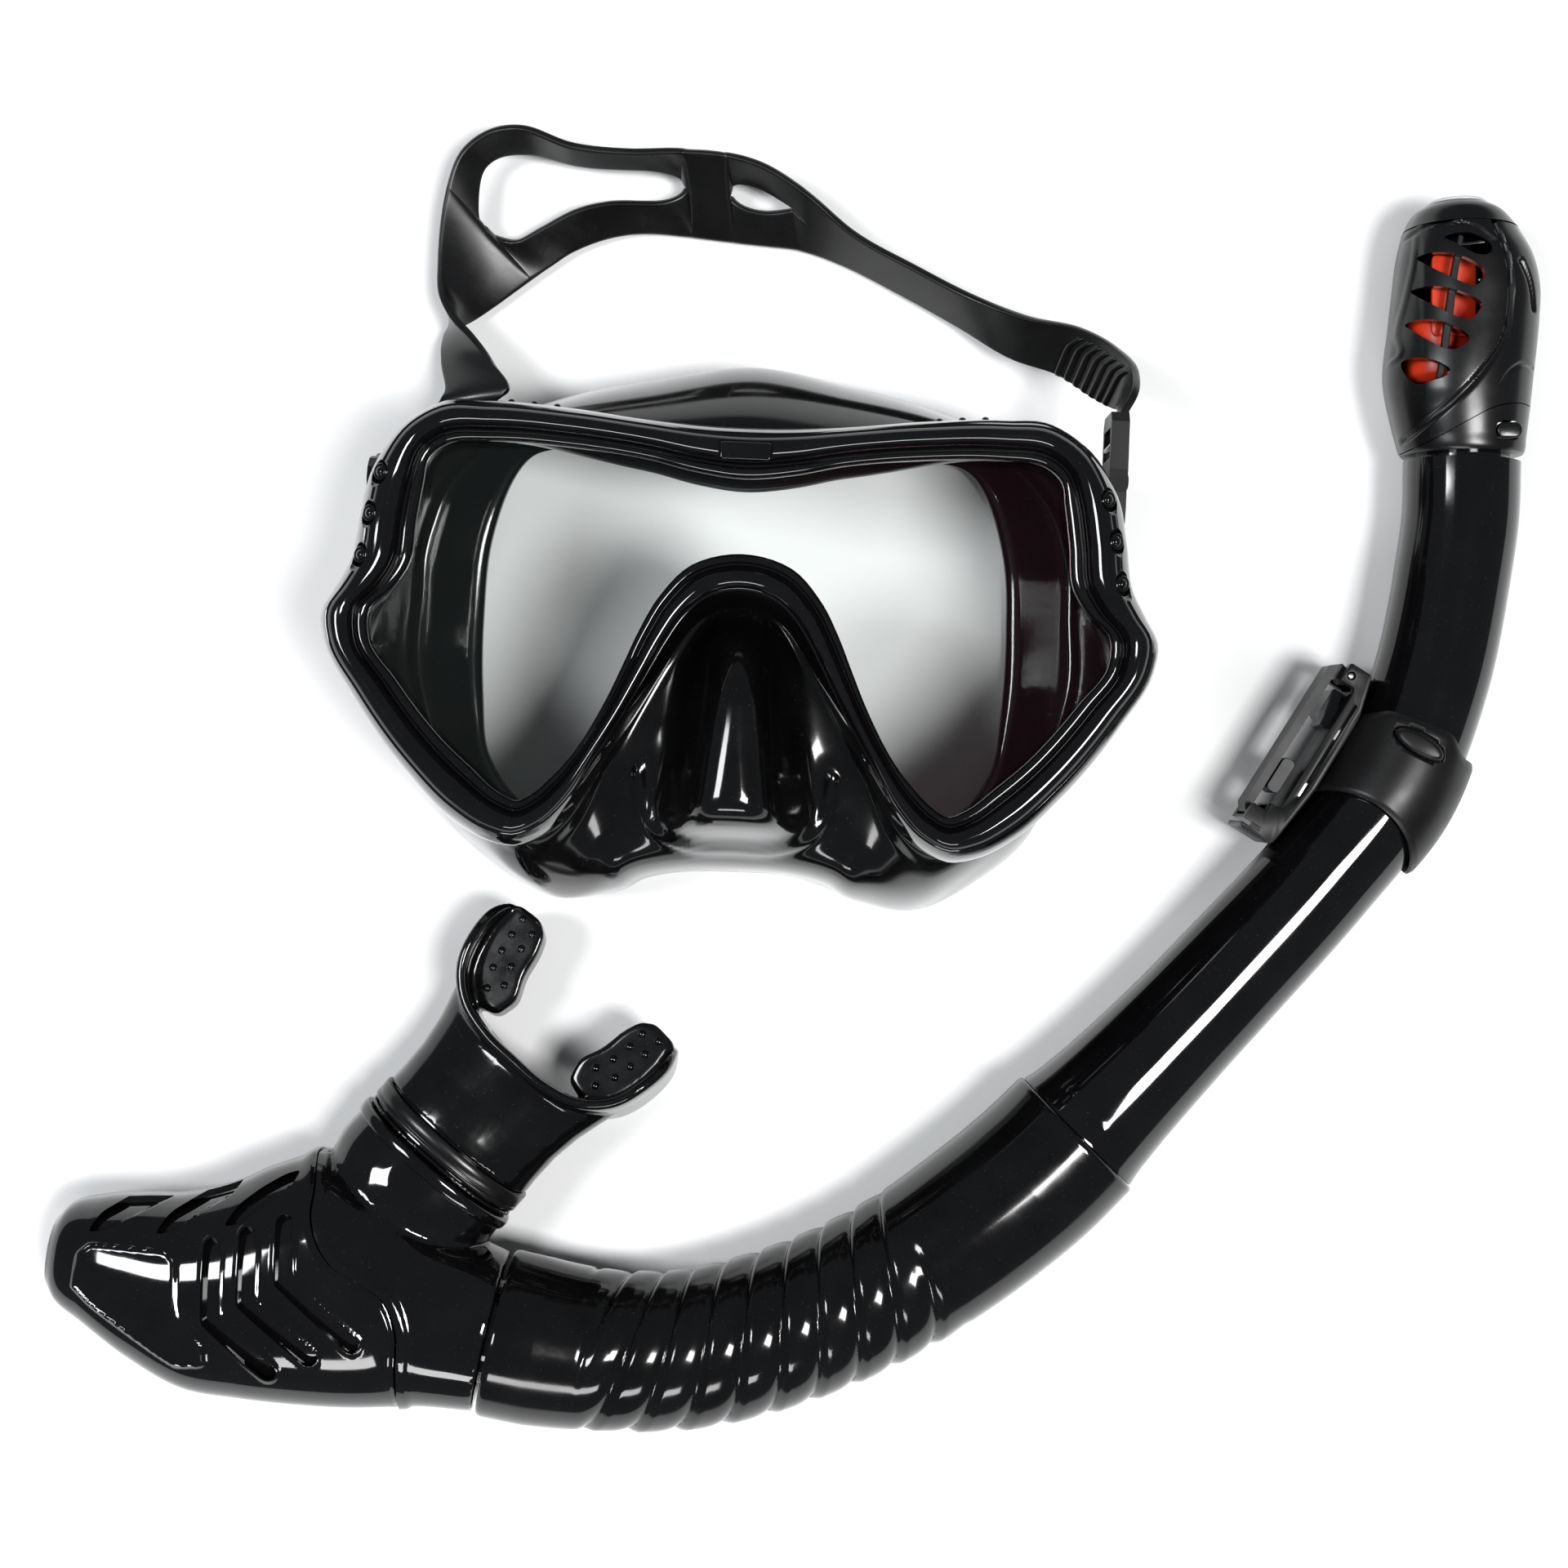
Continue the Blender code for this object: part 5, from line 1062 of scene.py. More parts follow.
def make_barrel():
    """The rigid barrel: a flared collar, a long gentle bend and a faint mould line along each side."""
    curve, length = route_curve(BARREL_ROUTE)
    collar = lengths_along(BARREL_ROUTE)[2]
    past_collar = [(-0.13, 12.7), (-0.12, 16.4), (0.1, 16.65), (0.5, 16.65), (1.5, 16.4), (3.0, 16.1), (5.0, 15.8),
                   (9.0, 15.3), (19.0, 14.6), (34.0, 13.9), (75.0, 13.3)]
    keys = [0.5, *[collar + d for d, _ in past_collar], length - 30.0, length]
    sizes = [12.7, *[size for _, size in past_collar], 12.9, 13.0]
    grid = np.linspace(0.0, length, 500)
    plain = np.interp(grid, keys, sizes)
    soft = np.convolve(np.pad(plain, 14, mode="edge"), np.ones(29) / 29, mode="valid")
    blend = smoothstep(collar + 4.0, collar + 8.0, grid)

    def radius(s, angle):
        share = np.interp(s, grid, blend)
        size = np.interp(s, keys, sizes) * (1 - share) + np.interp(s, grid, soft) * share
        seam = math.exp(-((math.sin(angle) * 14.0) ** 2) / 0.03)
        return size + 0.12 * seam * share

    stations = [0.5, *[collar + d for d in (-0.13, -0.12, -0.04, 0.1, 0.5, 1.0, 1.5, 2.2, 2.8)],
                *np.linspace(collar + 3.5, length, 230)]
    bores = [stations[0], *np.linspace(16.0, length - 12.0, 60), length]
    outer = tube_rings(curve, stations, radius, 128)
    inner = tube_rings(curve, bores, lambda s, angle: BARREL_BORE - 0.5 * (s < 1), 128)
    barrel = piece("barrel_tube", hollow_loft(outer, inner), SNORKEL, GLOSS, "snorkel_barrel", "gloss", "barrel")
    crisp(barrel)


# ---------------------------------------------------------------- mouthpiece end
def branch(d, l, z):
    """Frame of the mouthpiece branch: d toward the mouth, l to its right, z over the axis."""
    return Vector(BRANCH_ORIGIN) + BRANCH_AXIS * d + BRANCH_RIGHT * l + Vector((0, 0, z))


def smooth_rows(rows, step=0.5):
    """Rows of numbers filled in along a smooth curve."""
    return soft_line(rows, max(int(lengths_along(rows)[-1] / step), 2))


def branch_rings(rows, sides=72):
    """Rings round the branch from rows of distance, half width and half height."""
    return [oval_ring(branch(d, 0, 0), BRANCH_RIGHT, UP, l, z, sides, 2.2) for d, l, z in rows]


def headed_rings(rows, shrink=0.0, sides=96, power=2.4):
    """Upright rings from rows of centre, heading in degrees, half width and half height."""
    rings = []
    for x, y, z, heading, width, height in rows:
        angle = math.radians(heading)
        side = (-math.sin(angle), math.cos(angle), 0.0)
        rings.append(oval_ring((x, y, z), side, UP, width - shrink, height - shrink, sides, power))
    return rings


# Rings of the purge cover and the chamber behind it: centre, heading, half width and half height.
BODY_RINGS = [
    (-65.7, -123.1, 19.3, -13.0, 17.7, 17.9),
    (-77.0, -119.6, 19.3, -6.0, 20.0, 18.6),
    (-86.5, -114.6, 19.3, 6.0, 25.0, 19.0),
    (-95.8, -110.8, 19.3, 15.9, 30.0, 19.0),
    (-104.0, -111.8, 19.2, 10.0, 28.4, 19.0),
    (-113.0, -112.6, 19.1, 6.0, 26.6, 18.9),
    (-122.5, -113.6, 18.9, 2.0, 24.2, 18.6),
    (-134.5, -113.8, 18.4, 0.0, 21.8, 17.8),
    (-145.4, -110.6, 17.8, -4.0, 18.4, 16.6),
    (-155.6, -106.8, 17.3, -8.0, 14.2, 14.6),
    (-161.6, -105.4, 17.0, -8.0, 11.4, 12.0),
    (-164.4, -105.1, 17.0, -8.0, 8.0, 8.6),
]
# Its chevron channels, the slits over its shoulder and its outlined panel, seen from above.
COVER_CHANNELS = [
    [(-125.1, -101.4), (-125.5, -117.0), (-113.2, -128.8)],
    [(-117.2, -98.9), (-117.6, -112.9), (-103.9, -125.4)],
    [(-109.2, -96.2), (-109.3, -108.2), (-94.4, -122.4)],
]
COVER_LEAVES = [
    [(-153.9, -99.0), (-151.6, -95.0), (-146.6, -92.2), (-140.6, -90.4), (-134.6, -89.9), (-136.6, -92.4),
     (-142.6, -95.0), (-149.0, -98.2)],
    [(-138.6, -99.2), (-136.0, -94.8), (-130.4, -91.6), (-125.0, -89.2), (-120.8, -88.4), (-122.4, -91.2),
     (-128.4, -94.4), (-134.6, -98.4)],
    [(-123.2, -97.2), (-120.2, -92.6), (-115.2, -89.0), (-110.4, -86.4), (-106.9, -85.4), (-108.6, -88.6),
     (-113.6, -92.2), (-119.2, -96.4)],
]
COVER_PANEL = [
    (-156.8, -110.7), (-155.7, -103.6), (-152.7, -101.2), (-135.4, -102.5), (-133.3, -104.5), (-133.2, -116.4),
    (-127.2, -123.7), (-127.3, -127.4), (-133.6, -127.7), (-137.2, -125.4), (-152.3, -114.9), (-156.8, -110.7),
]
SEAM_LINE = soft_line(SEAM, 90)


def seam_side(reach, gap):
    """A cutter for everything on one side of the seam, out to reach along X."""
    line = [(x + gap, y) for x, y in SEAM_LINE]
    outline = [*line, (line[-1][0] + reach, line[-1][1]), (line[0][0] + reach, line[0][1])]
    return prism(TABLE, outline, -5.0, 50.0)


def make_chamber():
    """The chamber that joins the hose, the mouthpiece branch and the purge opening."""
    body = tool(loft(headed_rings(smooth_rows(BODY_RINGS[:6]))), name="chamber_body")
    arm = smooth_rows([(-30.0, 14.0, 12.0), (-24.0, 18.6, 14.6), (-19.0, 20.2, 15.2), (-8.3, 20.2, 14.6)])
    collar = smooth_rows([(-11.6, 20.0, 14.4), (-11.0, 20.9, 15.2), (-8.6, 20.9, 15.2), (-8.3, 20.5, 14.8)], 0.25)
    nipple = [(-67.0, -122.8, 19.3, -13.0, 11.8, 11.8), (-53.8, -125.9, 19.0, -12.0, 11.8, 11.8)]
    join(body, loft(branch_rings(arm)))
    melted(body, 0.55, 14)
    for rows in (collar, [(-9.0, 17.0, 11.2), (3.0, 17.0, 11.2)]):
        join(body, loft(branch_rings(rows)))
    join(body, loft(headed_rings(nipple, 0.0, 64, 2.0)))

    def shift(at, normal):
        return 0.6 * near_line(at, SEAM_LINE, 1.7, 3.3) * smoothstep(0.05, 0.3, normal[:, 2])

    shaped(body, SNORKEL, shift)
    bore = [(-69.0, -122.2, 19.3, -13.0, 14.6, 14.6), *BODY_RINGS[1:5], (-119.0, -113.0, 19.0, 5.0, 27.0, 18.9)]
    branch_bore = [(-22.0, 16.0, 11.0), (-10.0, 15.0, 9.4), (6.0, 15.0, 9.4)]
    throat = [(-74.0, -121.2, 19.3, -13.0, 10.2, 10.2), (-50.0, -126.6, 18.9, -13.0, 10.2, 10.2)]
    cut(body, seam_side(-60.0, 0.35), loft(headed_rings(bore, 2.2)), loft(branch_rings(branch_bore)),
        loft(headed_rings(throat, 0.0, 64, 2.0)))
    finished(body, 35, "snorkel_chamber", "gloss", "chamber")


def capsule(a, b, half):
    """Outline of a slot with round ends between two points."""
    start = math.atan2(b[1] - a[1], b[0] - a[0])
    turns = np.linspace(-math.pi / 2, math.pi / 2, 17)
    far = [(b[0] + half * math.cos(start + t), b[1] + half * math.sin(start + t)) for t in turns]
    near = [(a[0] - half * math.cos(start + t), a[1] - half * math.sin(start + t)) for t in turns]
    return far + near


def make_cover():
    """The vented purge cover: chevron channels, slits over its shoulder and an outlined panel."""
    cover = tool(loft(headed_rings(smooth_rows(BODY_RINGS[1:], 0.4), 0.0, 260)), name="vented_cover")
    channels = [rounded_line(line, 10, 0.16) for line in COVER_CHANNELS]
    panel = rounded_line(COVER_PANEL, 5, 0.2)

    def shift(at, normal):
        out = sum(0.35 * near_line(at, line, 2.3, 2.9) for line in channels)
        out += 0.4 * near_line(at, panel, 0.2, 0.75) + 0.15 * inside(at[:, :2], panel)
        out -= 0.5 * near_line(at, SEAM_LINE, 0.3, 1.5)
        return out * smoothstep(0.12, 0.4, normal[:, 2])

    shaped(cover, SNORKEL, shift)
    slots = [(capsule(a, b, 2.0), 2.0) for line in COVER_CHANNELS for a, b in zip(line, line[1:])]
    slots += [(rounded_loop(line, 5, 0.3), 1.5) for line in COVER_LEAVES]
    for outline, depth in slots:
        cutter = tool(prism(TABLE, outline, 21.0, 50.0))
        cut(cutter, loft(headed_rings(smooth_rows(BODY_RINGS[1:], 1.0), depth)))
        cut(cover, cutter)
    inner = [(-72.0, -121.6, 19.3, -10.0, 20.0, 18.4), *BODY_RINGS[2:11]]
    cut(cover, seam_side(60.0, -0.3), loft(headed_rings(inner, 3.0)))
    finished(cover, 45, "snorkel_chamber", "gloss", "purge_cover")


def make_purge_valve():
    """The soft disc of the purge valve, with its stem."""
    place = flat_frame(SEAT_CENTRE, SEAT_ANGLE)
    profile = [(0.0, 10.0), (0.12, 10.5), (0.5, 10.8), (0.85, 10.75), (1.0, 10.4), (0.8, 9.6), (1.0, 8.8),
               (1.02, 1.4), (1.3, 1.0), (5.0, 1.0), (5.3, 1.5), (5.7, 1.7), (6.1, 1.4), (6.4, 0.6)]
    disc = turned(place(0.0, -6.0, 0.0), direction(place, 1, 0, 0), profile, 64)
    piece("purge_disc_fine", disc, SNORKEL, SILICONE, "purge_disc", "silicone", "purge_valve")


MOUTH_TWIST = math.radians(8.0)          # the soft mouthpiece leans round the branch's axis
MOUTH_PITCH = 0.16                       # and its top edge lies further along that axis than its bottom edge
# Half of the lip shield's line and the outline of a bite pad, as distances to the right and along, the bumps
# on each face of a pad, and a bump's profile.
SHIELD_HALF = [(0.0, 19.0), (9.0, 19.3), (17.2, 21.6), (22.8, 26.8), (25.4, 34.0), (25.9, 40.4), (24.6, 45.6)]
BITE_PAD = [
    (24.2, 46.0), (25.6, 40.0), (23.4, 29.0), (17.0, 22.4), (11.0, 24.0), (9.6, 29.4), (12.0, 34.6), (13.0, 40.6),
    (14.6, 44.6), (17.6, 46.6),
]
BITE_BUMPS = [(20.7, 44.0), (20.3, 39.8), (16.8, 42.8), (19.6, 35.6), (16.5, 38.8), (18.6, 31.5), (15.6, 34.3),
              (16.5, 27.2), (14.0, 30.2)]
DOME = [(0.0, 0.9), (0.4, 0.9), (0.65, 0.84), (0.85, 0.68), (1.0, 0.4), (1.04, 0.12)]


def leaning(d, l, z):
    """A point of the mouthpiece once it has leaned, in the snorkel's frame."""
    turn = MOUTH_TWIST * smoothstep(0.0, 16.0, d)
    ahead = d + MOUTH_PITCH * z * smoothstep(8.0, 22.0, d)
    return branch(ahead, l * math.cos(turn) - z * math.sin(turn), z * math.cos(turn) + l * math.sin(turn))


def shield_wall():
    """The curved lip shield as a wall that tapers at both tips, and its line."""
    half = [tuple(p) for p in soft_line([(-9.0, 19.3), *SHIELD_HALF], 70) if p[0] > 0.3]
    line = [(-l, d) for l, d in half[::-1]] + half
    run = lengths_along(line)
    wall = []
    for i, (l, d) in enumerate(line):
        before, after = line[max(i - 1, 0)], line[min(i + 1, len(line) - 1)]
        ahead = Vector((after[0] - before[0], after[1] - before[1])).normalized()
        tip = max(1 - min(run[i], run[-1] - run[i]) / 7.0, 0.0)
        full = math.sqrt(1 - tip**2)
        tall = (13.4 - 5.9 * smoothstep(30.0, 50.0, d)) * max(full, 0.15)
        half_wall = 1.4 * max(full, 0.35)
        section = []
        for turn in np.linspace(0.0, 2 * math.pi, 25)[:-1]:
            u = math.copysign(abs(math.cos(turn)) ** 0.55, math.cos(turn)) * half_wall
            v = math.copysign(abs(math.sin(turn)) ** 0.3, math.sin(turn)) * tall
            section.append(branch(d + u * ahead.x, l - u * ahead.y, v))
        wall.append(section)
    return loft(wall), line


def make_mouthpiece():
    """The silicone mouthpiece: collar, curved lip shield and two bite pads with bumps, run together."""
    neck = [(-7.9, 20.2, 14.4), (-6.9, 20.2, 14.4), (-6.8, 18.9, 13.1), (-1.4, 18.9, 13.1), (-1.3, 19.8, 14.0),
            (2.0, 19.6, 13.8), (9.0, 19.8, 12.9), (15.8, 20.9, 12.3), (22.0, 22.6, 12.0), (28.0, 24.4, 11.4),
            (31.0, 24.9, 10.4)]
    body = tool(loft(branch_rings(neck)), SNORKEL, SILICONE, "bite_mouthpiece")
    wall, line = shield_wall()
    past_shield = [(d, l) for l, d in (*line, (23.0, 70.0), (-23.0, 70.0))]
    cut(body, prism(branch, past_shield, -30.0, 30.0))
    join(body, wall)
    pad = rounded_loop(BITE_PAD, 6, 0.3)[:, ::-1]
    pull = pad - pad.mean(axis=0)
    pull /= np.linalg.norm(pull, axis=1)[:, None]
    layers = [(-4.2, 0.8), (-3.9, 0.25), (-3.4, 0.0), (3.4, 0.0), (3.9, 0.25), (4.2, 0.8)]
    for side in (-1, 1):
        join(body, layered(branch, pad * (1, side), layers, pull * (1, side)))
    melted(body, 0.45, 5)
    for vertex in body.data.vertices:
        offset = (SNORKEL.inverted() @ vertex.co) - Vector(BRANCH_ORIGIN)
        vertex.co = SNORKEL @ leaning(offset.dot(BRANCH_AXIS), offset.dot(BRANCH_RIGHT), offset.z)
    bore = [(-9.0, 17.5, 11.7), (4.0, 17.5, 11.7), (10.0, 12.0, 7.6), (30.0, 8.6, 6.0)]
    groove = [(-6.9, 30.0, 30.0), (-1.3, 30.0, 30.0), (-1.3, 18.9, 13.1), (-6.9, 18.9, 13.1)]
    cut(body, loft(branch_rings(bore)), loft(branch_rings(groove), looped=True))
    finished(body, 50, "snorkel_chamber", "silicone", "mouthpiece")
    domes = []
    for side, face in ((-1, -1), (-1, 1), (1, -1), (1, 1)):
        for l, d in BITE_BUMPS:
            foot = leaning(d, side * l, face * 3.9)
            domes.append(turned(foot, leaning(d, side * l, face * 4.9) - foot, DOME, 18))
    piece("bite_bumps", gathered(domes), SNORKEL, SILICONE, "snorkel_chamber", "silicone")
    band = [(-6.2, 19.3, 13.5), (-6.2, 20.2, 14.4), (-6.05, 20.4, 14.6), (-5.2, 20.4, 14.6), (-5.05, 20.25, 14.45),
            (-4.9, 20.4, 14.6), (-2.15, 20.4, 14.6), (-2.0, 20.2, 14.4), (-2.0, 19.3, 13.5)]
    piece("clamp_band", loft(branch_rings(band, 96), looped=True), SNORKEL, SATIN, "snorkel_chamber", "matte",
          "mouthpiece_clamp_band")


# ---------------------------------------------------------------- keeper
KEEPER_HALF = 12.0                       # half the ring's length along the barrel
KEEPER_SIDES = 144
KEEPER_ROWS = 26
CATCH = [(4.6, 19.0), (13.4, 19.0), (13.4, 23.0), (6.6, 23.0), (5.8, 21.4), (4.6, 21.4)]
KEEPER_PIN = (17.0, 22.0)                # the pin, the inlay and the ring's outside, in the keeper's frame
INLAY_CENTRE = (11.2, 2.4)
INLAY_HALF = (2.4, 6.0)
KEEPER_TOP = 15.4
SPINE = [
    (-24.5, 17.0), (-24.5, 25.5), (-18.5, 25.5), (-18.5, 22.0), (-16.5, 22.0), (-16.5, 19.6), (15.0, 19.6),
    (15.0, 23.6), (19.5, 23.6), (19.5, 18.0), (10.0, 15.4), (-9.0, 15.2),
]


def keeper_shell(radius, along):
    """Rings round the barrel whose ends swing out at the sides and over the top; radius is by share along."""
    curve, _ = route_curve(BARREL_ROUTE)
    middle = lengths_along(BARREL_ROUTE)[6] + 0.4
    stations = np.linspace(middle - KEEPER_HALF, middle + KEEPER_HALF, KEEPER_ROWS)
    shares = np.linspace(0.0, 1.0, KEEPER_ROWS)
    rings = tube_rings(curve, stations, lambda s, angle: radius(np.interp(s, stations, shares)), KEEPER_SIDES)
    for share, ring in zip(shares, rings):
        for i in range(KEEPER_SIDES):
            angle = 2 * math.pi * i / KEEPER_SIDES
            b, c = math.cos(angle), math.sin(angle)
            low_edge = 6.0 * max(0.0, 1 - b**2) ** 0.8 * (1 - share) ** 1.5
            top_edge = 3.9 * smoothstep(0.95, 0.4, abs(b - 0.17)) * share**1.5 * smoothstep(0.0, 0.5, c)
            ring[i] += along * (low_edge + top_edge)
    return rings


def make_keeper():
    """The clip on the barrel: sculpted ring, tongue with its oval inlay, spine, gate catch and slider ribs."""
    place = flat_frame(KEEPER_CENTRE, KEEPER_ANGLE)
    along = direction(place, 1, 0, 0)
    outer = keeper_shell(lambda share: 15.15 + 0.5 * max(math.sin(math.pi * share), 0.0) ** 0.6, along)
    inner = keeper_shell(lambda share: 14.2, along)
    for i in (0, -1):
        middle = sum(outer[i], Vector()) / KEEPER_SIDES
        outer[i] = [p + (middle - p).normalized() * 0.35 for p in outer[i]]
    ring = tool(hollow_loft(outer, inner), SNORKEL, MATTE, "keeper_body")
    spine = tool(prism(place, rounded_loop(SPINE, 5, 0.12), -8.0, 8.0))
    bevelled(spine, 0.5, 3, 50.0)
    join(ring, settled(spine), prism(place, rounded_loop(CATCH, 4, 0.1), -7.6, 2.0))
    cut(ring, block(place, (13.6, 21.0), (19.8, 24.6), (-4.6, 4.6)),
        block(place, (-21.6, -17.0), (20.2, 27.0), (-4.6, 4.6)),
        block(place, (-23.4, -22.3), (21.0, 27.0), (-9.0, 9.0)),
        block(place, (-13.2, -12.1), (21.0, 27.0), (-9.0, 9.0)),
        block(place, (-12.0, 12.0), (17.2, 18.0), (7.2, 9.0)),
        turned(place(*KEEPER_PIN, -9.0), UP, [(0.0, 1.0), (18.0, 1.0)], 32))

    def oval(grow, height):
        """An oval line round the inlay, grown and raised over the tongue's curve."""
        line = []
        for t in np.linspace(0.0, 2 * math.pi, 73)[:-1]:
            a = INLAY_CENTRE[0] + (INLAY_HALF[0] + grow) * math.sin(t)
            b = INLAY_CENTRE[1] + (INLAY_HALF[1] + grow) * math.cos(t)
            line.append(place(a, b, math.sqrt(KEEPER_TOP**2 - b * b) + height))
        return line

    cut(ring, loft([oval(0.35, -0.5), oval(0.35, 6.0)]))
    finished(ring, 35, "keeper", "matte", "keeper_ring")
    inlay = [oval(0.0, -0.2), oval(-0.25, 0.75), oval(-0.7, 1.05), oval(-1.4, 1.15)]
    piece("oval_inlay", loft(inlay), SNORKEL, MATTE, "keeper", "matte", "keeper_inlay")
    for i, a in enumerate((-12.6, -11.0, -9.4, -7.8), 1):
        rib = block(place, (a, a + 0.5), (24.3, 24.75), (-3.6, 3.6))
        bevelled(piece(f"slider_rib_{i}", rib, SNORKEL, MATTE, "lock", "matte"), 0.15, 2)
    pin = turned(place(*KEEPER_PIN, -7.8), UP, [(0.0, 0.55), (0.15, 0.7), (15.45, 0.7), (15.6, 0.55)], 32)
    piece("keeper_pin_fine", pin, SNORKEL, STEEL, "keeper", "steel", "keeper_pin")


# ---------------------------------------------------------------- dry top
def dry_rings(rows, shrink=0.0, sides=180):
    """Rings across the dry top from rows of y, lowest x, highest x and half height."""
    return [
        oval_ring(DRY((low + high) / 2, y, 0), (1, 0, 0), UP, (high - low) / 2 - shrink, tall - shrink, sides, 2.1)
        for y, low, high, tall in rows
    ]


# Rings of the dry top's foot, cover and cap: place along it, lowest and highest x, and half height.
DRY_FOOT = [(74.2, 140.1, 166.7, 13.4), (74.5, 139.8, 166.9, 13.6), (78.0, 138.6, 167.4, 14.2)]
SHROUD_ROWS = [
    (82.6, 137.4, 168.0, 14.9), (91.0, 135.9, 168.9, 15.7), (104.0, 137.1, 170.2, 16.0),
    (112.0, 138.0, 170.4, 16.0), (119.0, 138.9, 168.8, 15.4), (124.6, 140.2, 165.6, 14.2),
]
CAP_ROWS = [(125.0, 140.4, 165.4, 14.1), (128.4, 142.2, 162.4, 12.4), (130.8, 145.8, 158.0, 8.8)]
# The cover's windows and the lines moulded on it, seen from above.
SHROUD_WINDOWS = [
    [(145.6, 121.1), (149.2, 121.9), (152.2, 121.5), (155.8, 119.3), (156.2, 117.4), (154.6, 116.5), (152.2, 116.8),
     (149.8, 118.4), (147.4, 120.0)],
    [(140.6, 117.4), (143.8, 117.9), (147.4, 117.3), (151.0, 115.8), (154.4, 113.5), (154.2, 111.4), (152.8, 109.9),
     (150.7, 109.9), (147.4, 111.7), (144.4, 113.7), (142.1, 115.6)],
    [(139.4, 110.1), (142.6, 110.4), (146.2, 109.8), (150.4, 108.1), (154.2, 105.9), (152.8, 103.6), (151.3, 102.3),
     (148.9, 102.7), (145.6, 104.6), (142.9, 106.5), (140.8, 108.4)],
    [(138.2, 102.7), (141.4, 103.2), (145.0, 102.4), (148.6, 100.6), (151.4, 98.4), (149.8, 96.7), (147.4, 95.6),
     (145.0, 96.4), (142.6, 98.1), (140.2, 100.5)],
    [(137.7, 94.4), (140.2, 94.8), (143.8, 93.8), (147.2, 91.6), (146.2, 90.0), (143.8, 89.3), (140.8, 88.5),
     (139.0, 90.2), (137.9, 92.4)],
]
SHROUD_BORDER = [
    (157.0, 124.4), (159.4, 118.1), (160.4, 112.1), (160.3, 104.9), (158.8, 98.2), (154.9, 92.2), (150.7, 87.4),
    (144.7, 82.0), (138.6, 76.6),
]
CAP_LINE = [
    (134.0, 117.8), (138.6, 121.7), (141.0, 123.3), (144.7, 124.4), (148.9, 124.1), (153.1, 122.7), (156.6, 119.8),
]
LEFT_LINE = [(141.3, 122.1), (140.6, 116.9), (138.9, 107.9), (137.5, 100.7), (137.6, 95.8), (132.9, 93.1)]
COLLAR_LINE = [
    (136.0, 74.0), (139.4, 74.6), (144.6, 76.8), (151.2, 80.4), (156.7, 83.2), (160.9, 84.3), (170.0, 84.4),
]
LEAF_LINE = [(158.5, 88.6), (160.9, 91.6), (163.9, 93.2), (167.5, 93.0)]
RIGHT_GROOVE = [(163.3, 115.8), (165.3, 111.9), (166.8, 105.5)]
GUIDE_POST = [
    (144.0, 86.8), (145.4, 86.6), (147.0, 95.0), (148.2, 104.0), (149.2, 112.6), (150.6, 121.4), (149.4, 121.8),
    (147.6, 112.8), (146.4, 104.2), (145.4, 95.2),
]
AHEAD = (0.0, 1.0, 0.0)                  # from the barrel towards the cap
FLAP_PIN = (155.9, 112.9)
FLAP_ANGLE = math.radians(36)


def collar_side(gap, far):
    """A cutter for everything on one side of the line between collar and cover, out to y = far."""
    line = [(130.0, 73.4), *soft_line(COLLAR_LINE, 40), (176.0, 84.4)]
    return prism(TABLE, [(x, y + gap) for x, y in line] + [(176.0, far), (130.0, far)], -5.0, 50.0)


def make_dry_base():
    """The collar with the riser, the ears that hold the flap's pin, its two bores and its catch."""
    base = tool(loft(dry_rings(smooth_rows([*DRY_FOOT, *SHROUD_ROWS[:2]], 0.3))), SNORKEL, SATIN, "dry_top_foot")
    cut(base, collar_side(-0.12, 120.0))
    plug = [(76.0, 139.3, 167.2, 13.9), (82.2, 137.5, 167.9, 14.8), (83.4, 137.3, 168.0, 14.9)]
    ear = [(157.4, 99.0), (162.4, 99.0), (162.4, 108.0), (158.0, 114.6), (154.2, 114.6), (154.2, 111.4),
           (157.4, 109.4)]
    join(base, loft(dry_rings(plug, 1.9)),
         turned(DRY(153.4, 62.0, 0), AHEAD, [(0.0, 10.6), (14.0, 10.6)], 48),
         turned(DRY(161.5, 80.0, 0), AHEAD, [(0.0, 4.3), (31.2, 4.3), (31.8, 4.0)], 48),
         block(DRY, (158.4, 163.6), (97.0, 105.0), (-6.6, 6.6)),
         prism(DRY, ear, -6.6, -4.9),
         prism(DRY, ear, 4.9, 6.6))
    tab_place = flat_frame((160.6, 78.4, DRY_Z), 0.0)
    cut(base, turned(DRY(*FLAP_PIN, -8.0), UP, [(0.0, 0.8), (16.0, 0.8)], 24),
        turned(DRY(153.4, 60.0, 0), AHEAD, [(0.0, 9.2), (19.6, 9.2)], 48),
        turned(DRY(160.7, 78.0, 0), (0.8, 34.0, 0.0), [(0.0, 3.2), (36.0, 3.2)], 48),
        prism(tab_place, rounded_outline((-3.2, 3.2), (-2.1, 2.1), 1.8, 8), 9.6, 18.0))
    finished(base, 35, "snorkel_barrel", "gloss", "dry_top_base")
    outline = np.array(rounded_outline((-2.8, 2.8), (-1.7, 1.7), 1.5, 8))
    tab = layered(tab_place, outline, [(11.0, 0.0), (13.0, 0.0), (13.3, 0.12), (13.4, 0.4)], outline / (2.8, 1.7))
    piece("release_tab_fine", tab, SNORKEL, SATIN, "dry_top_release", "matte", "release_tab")


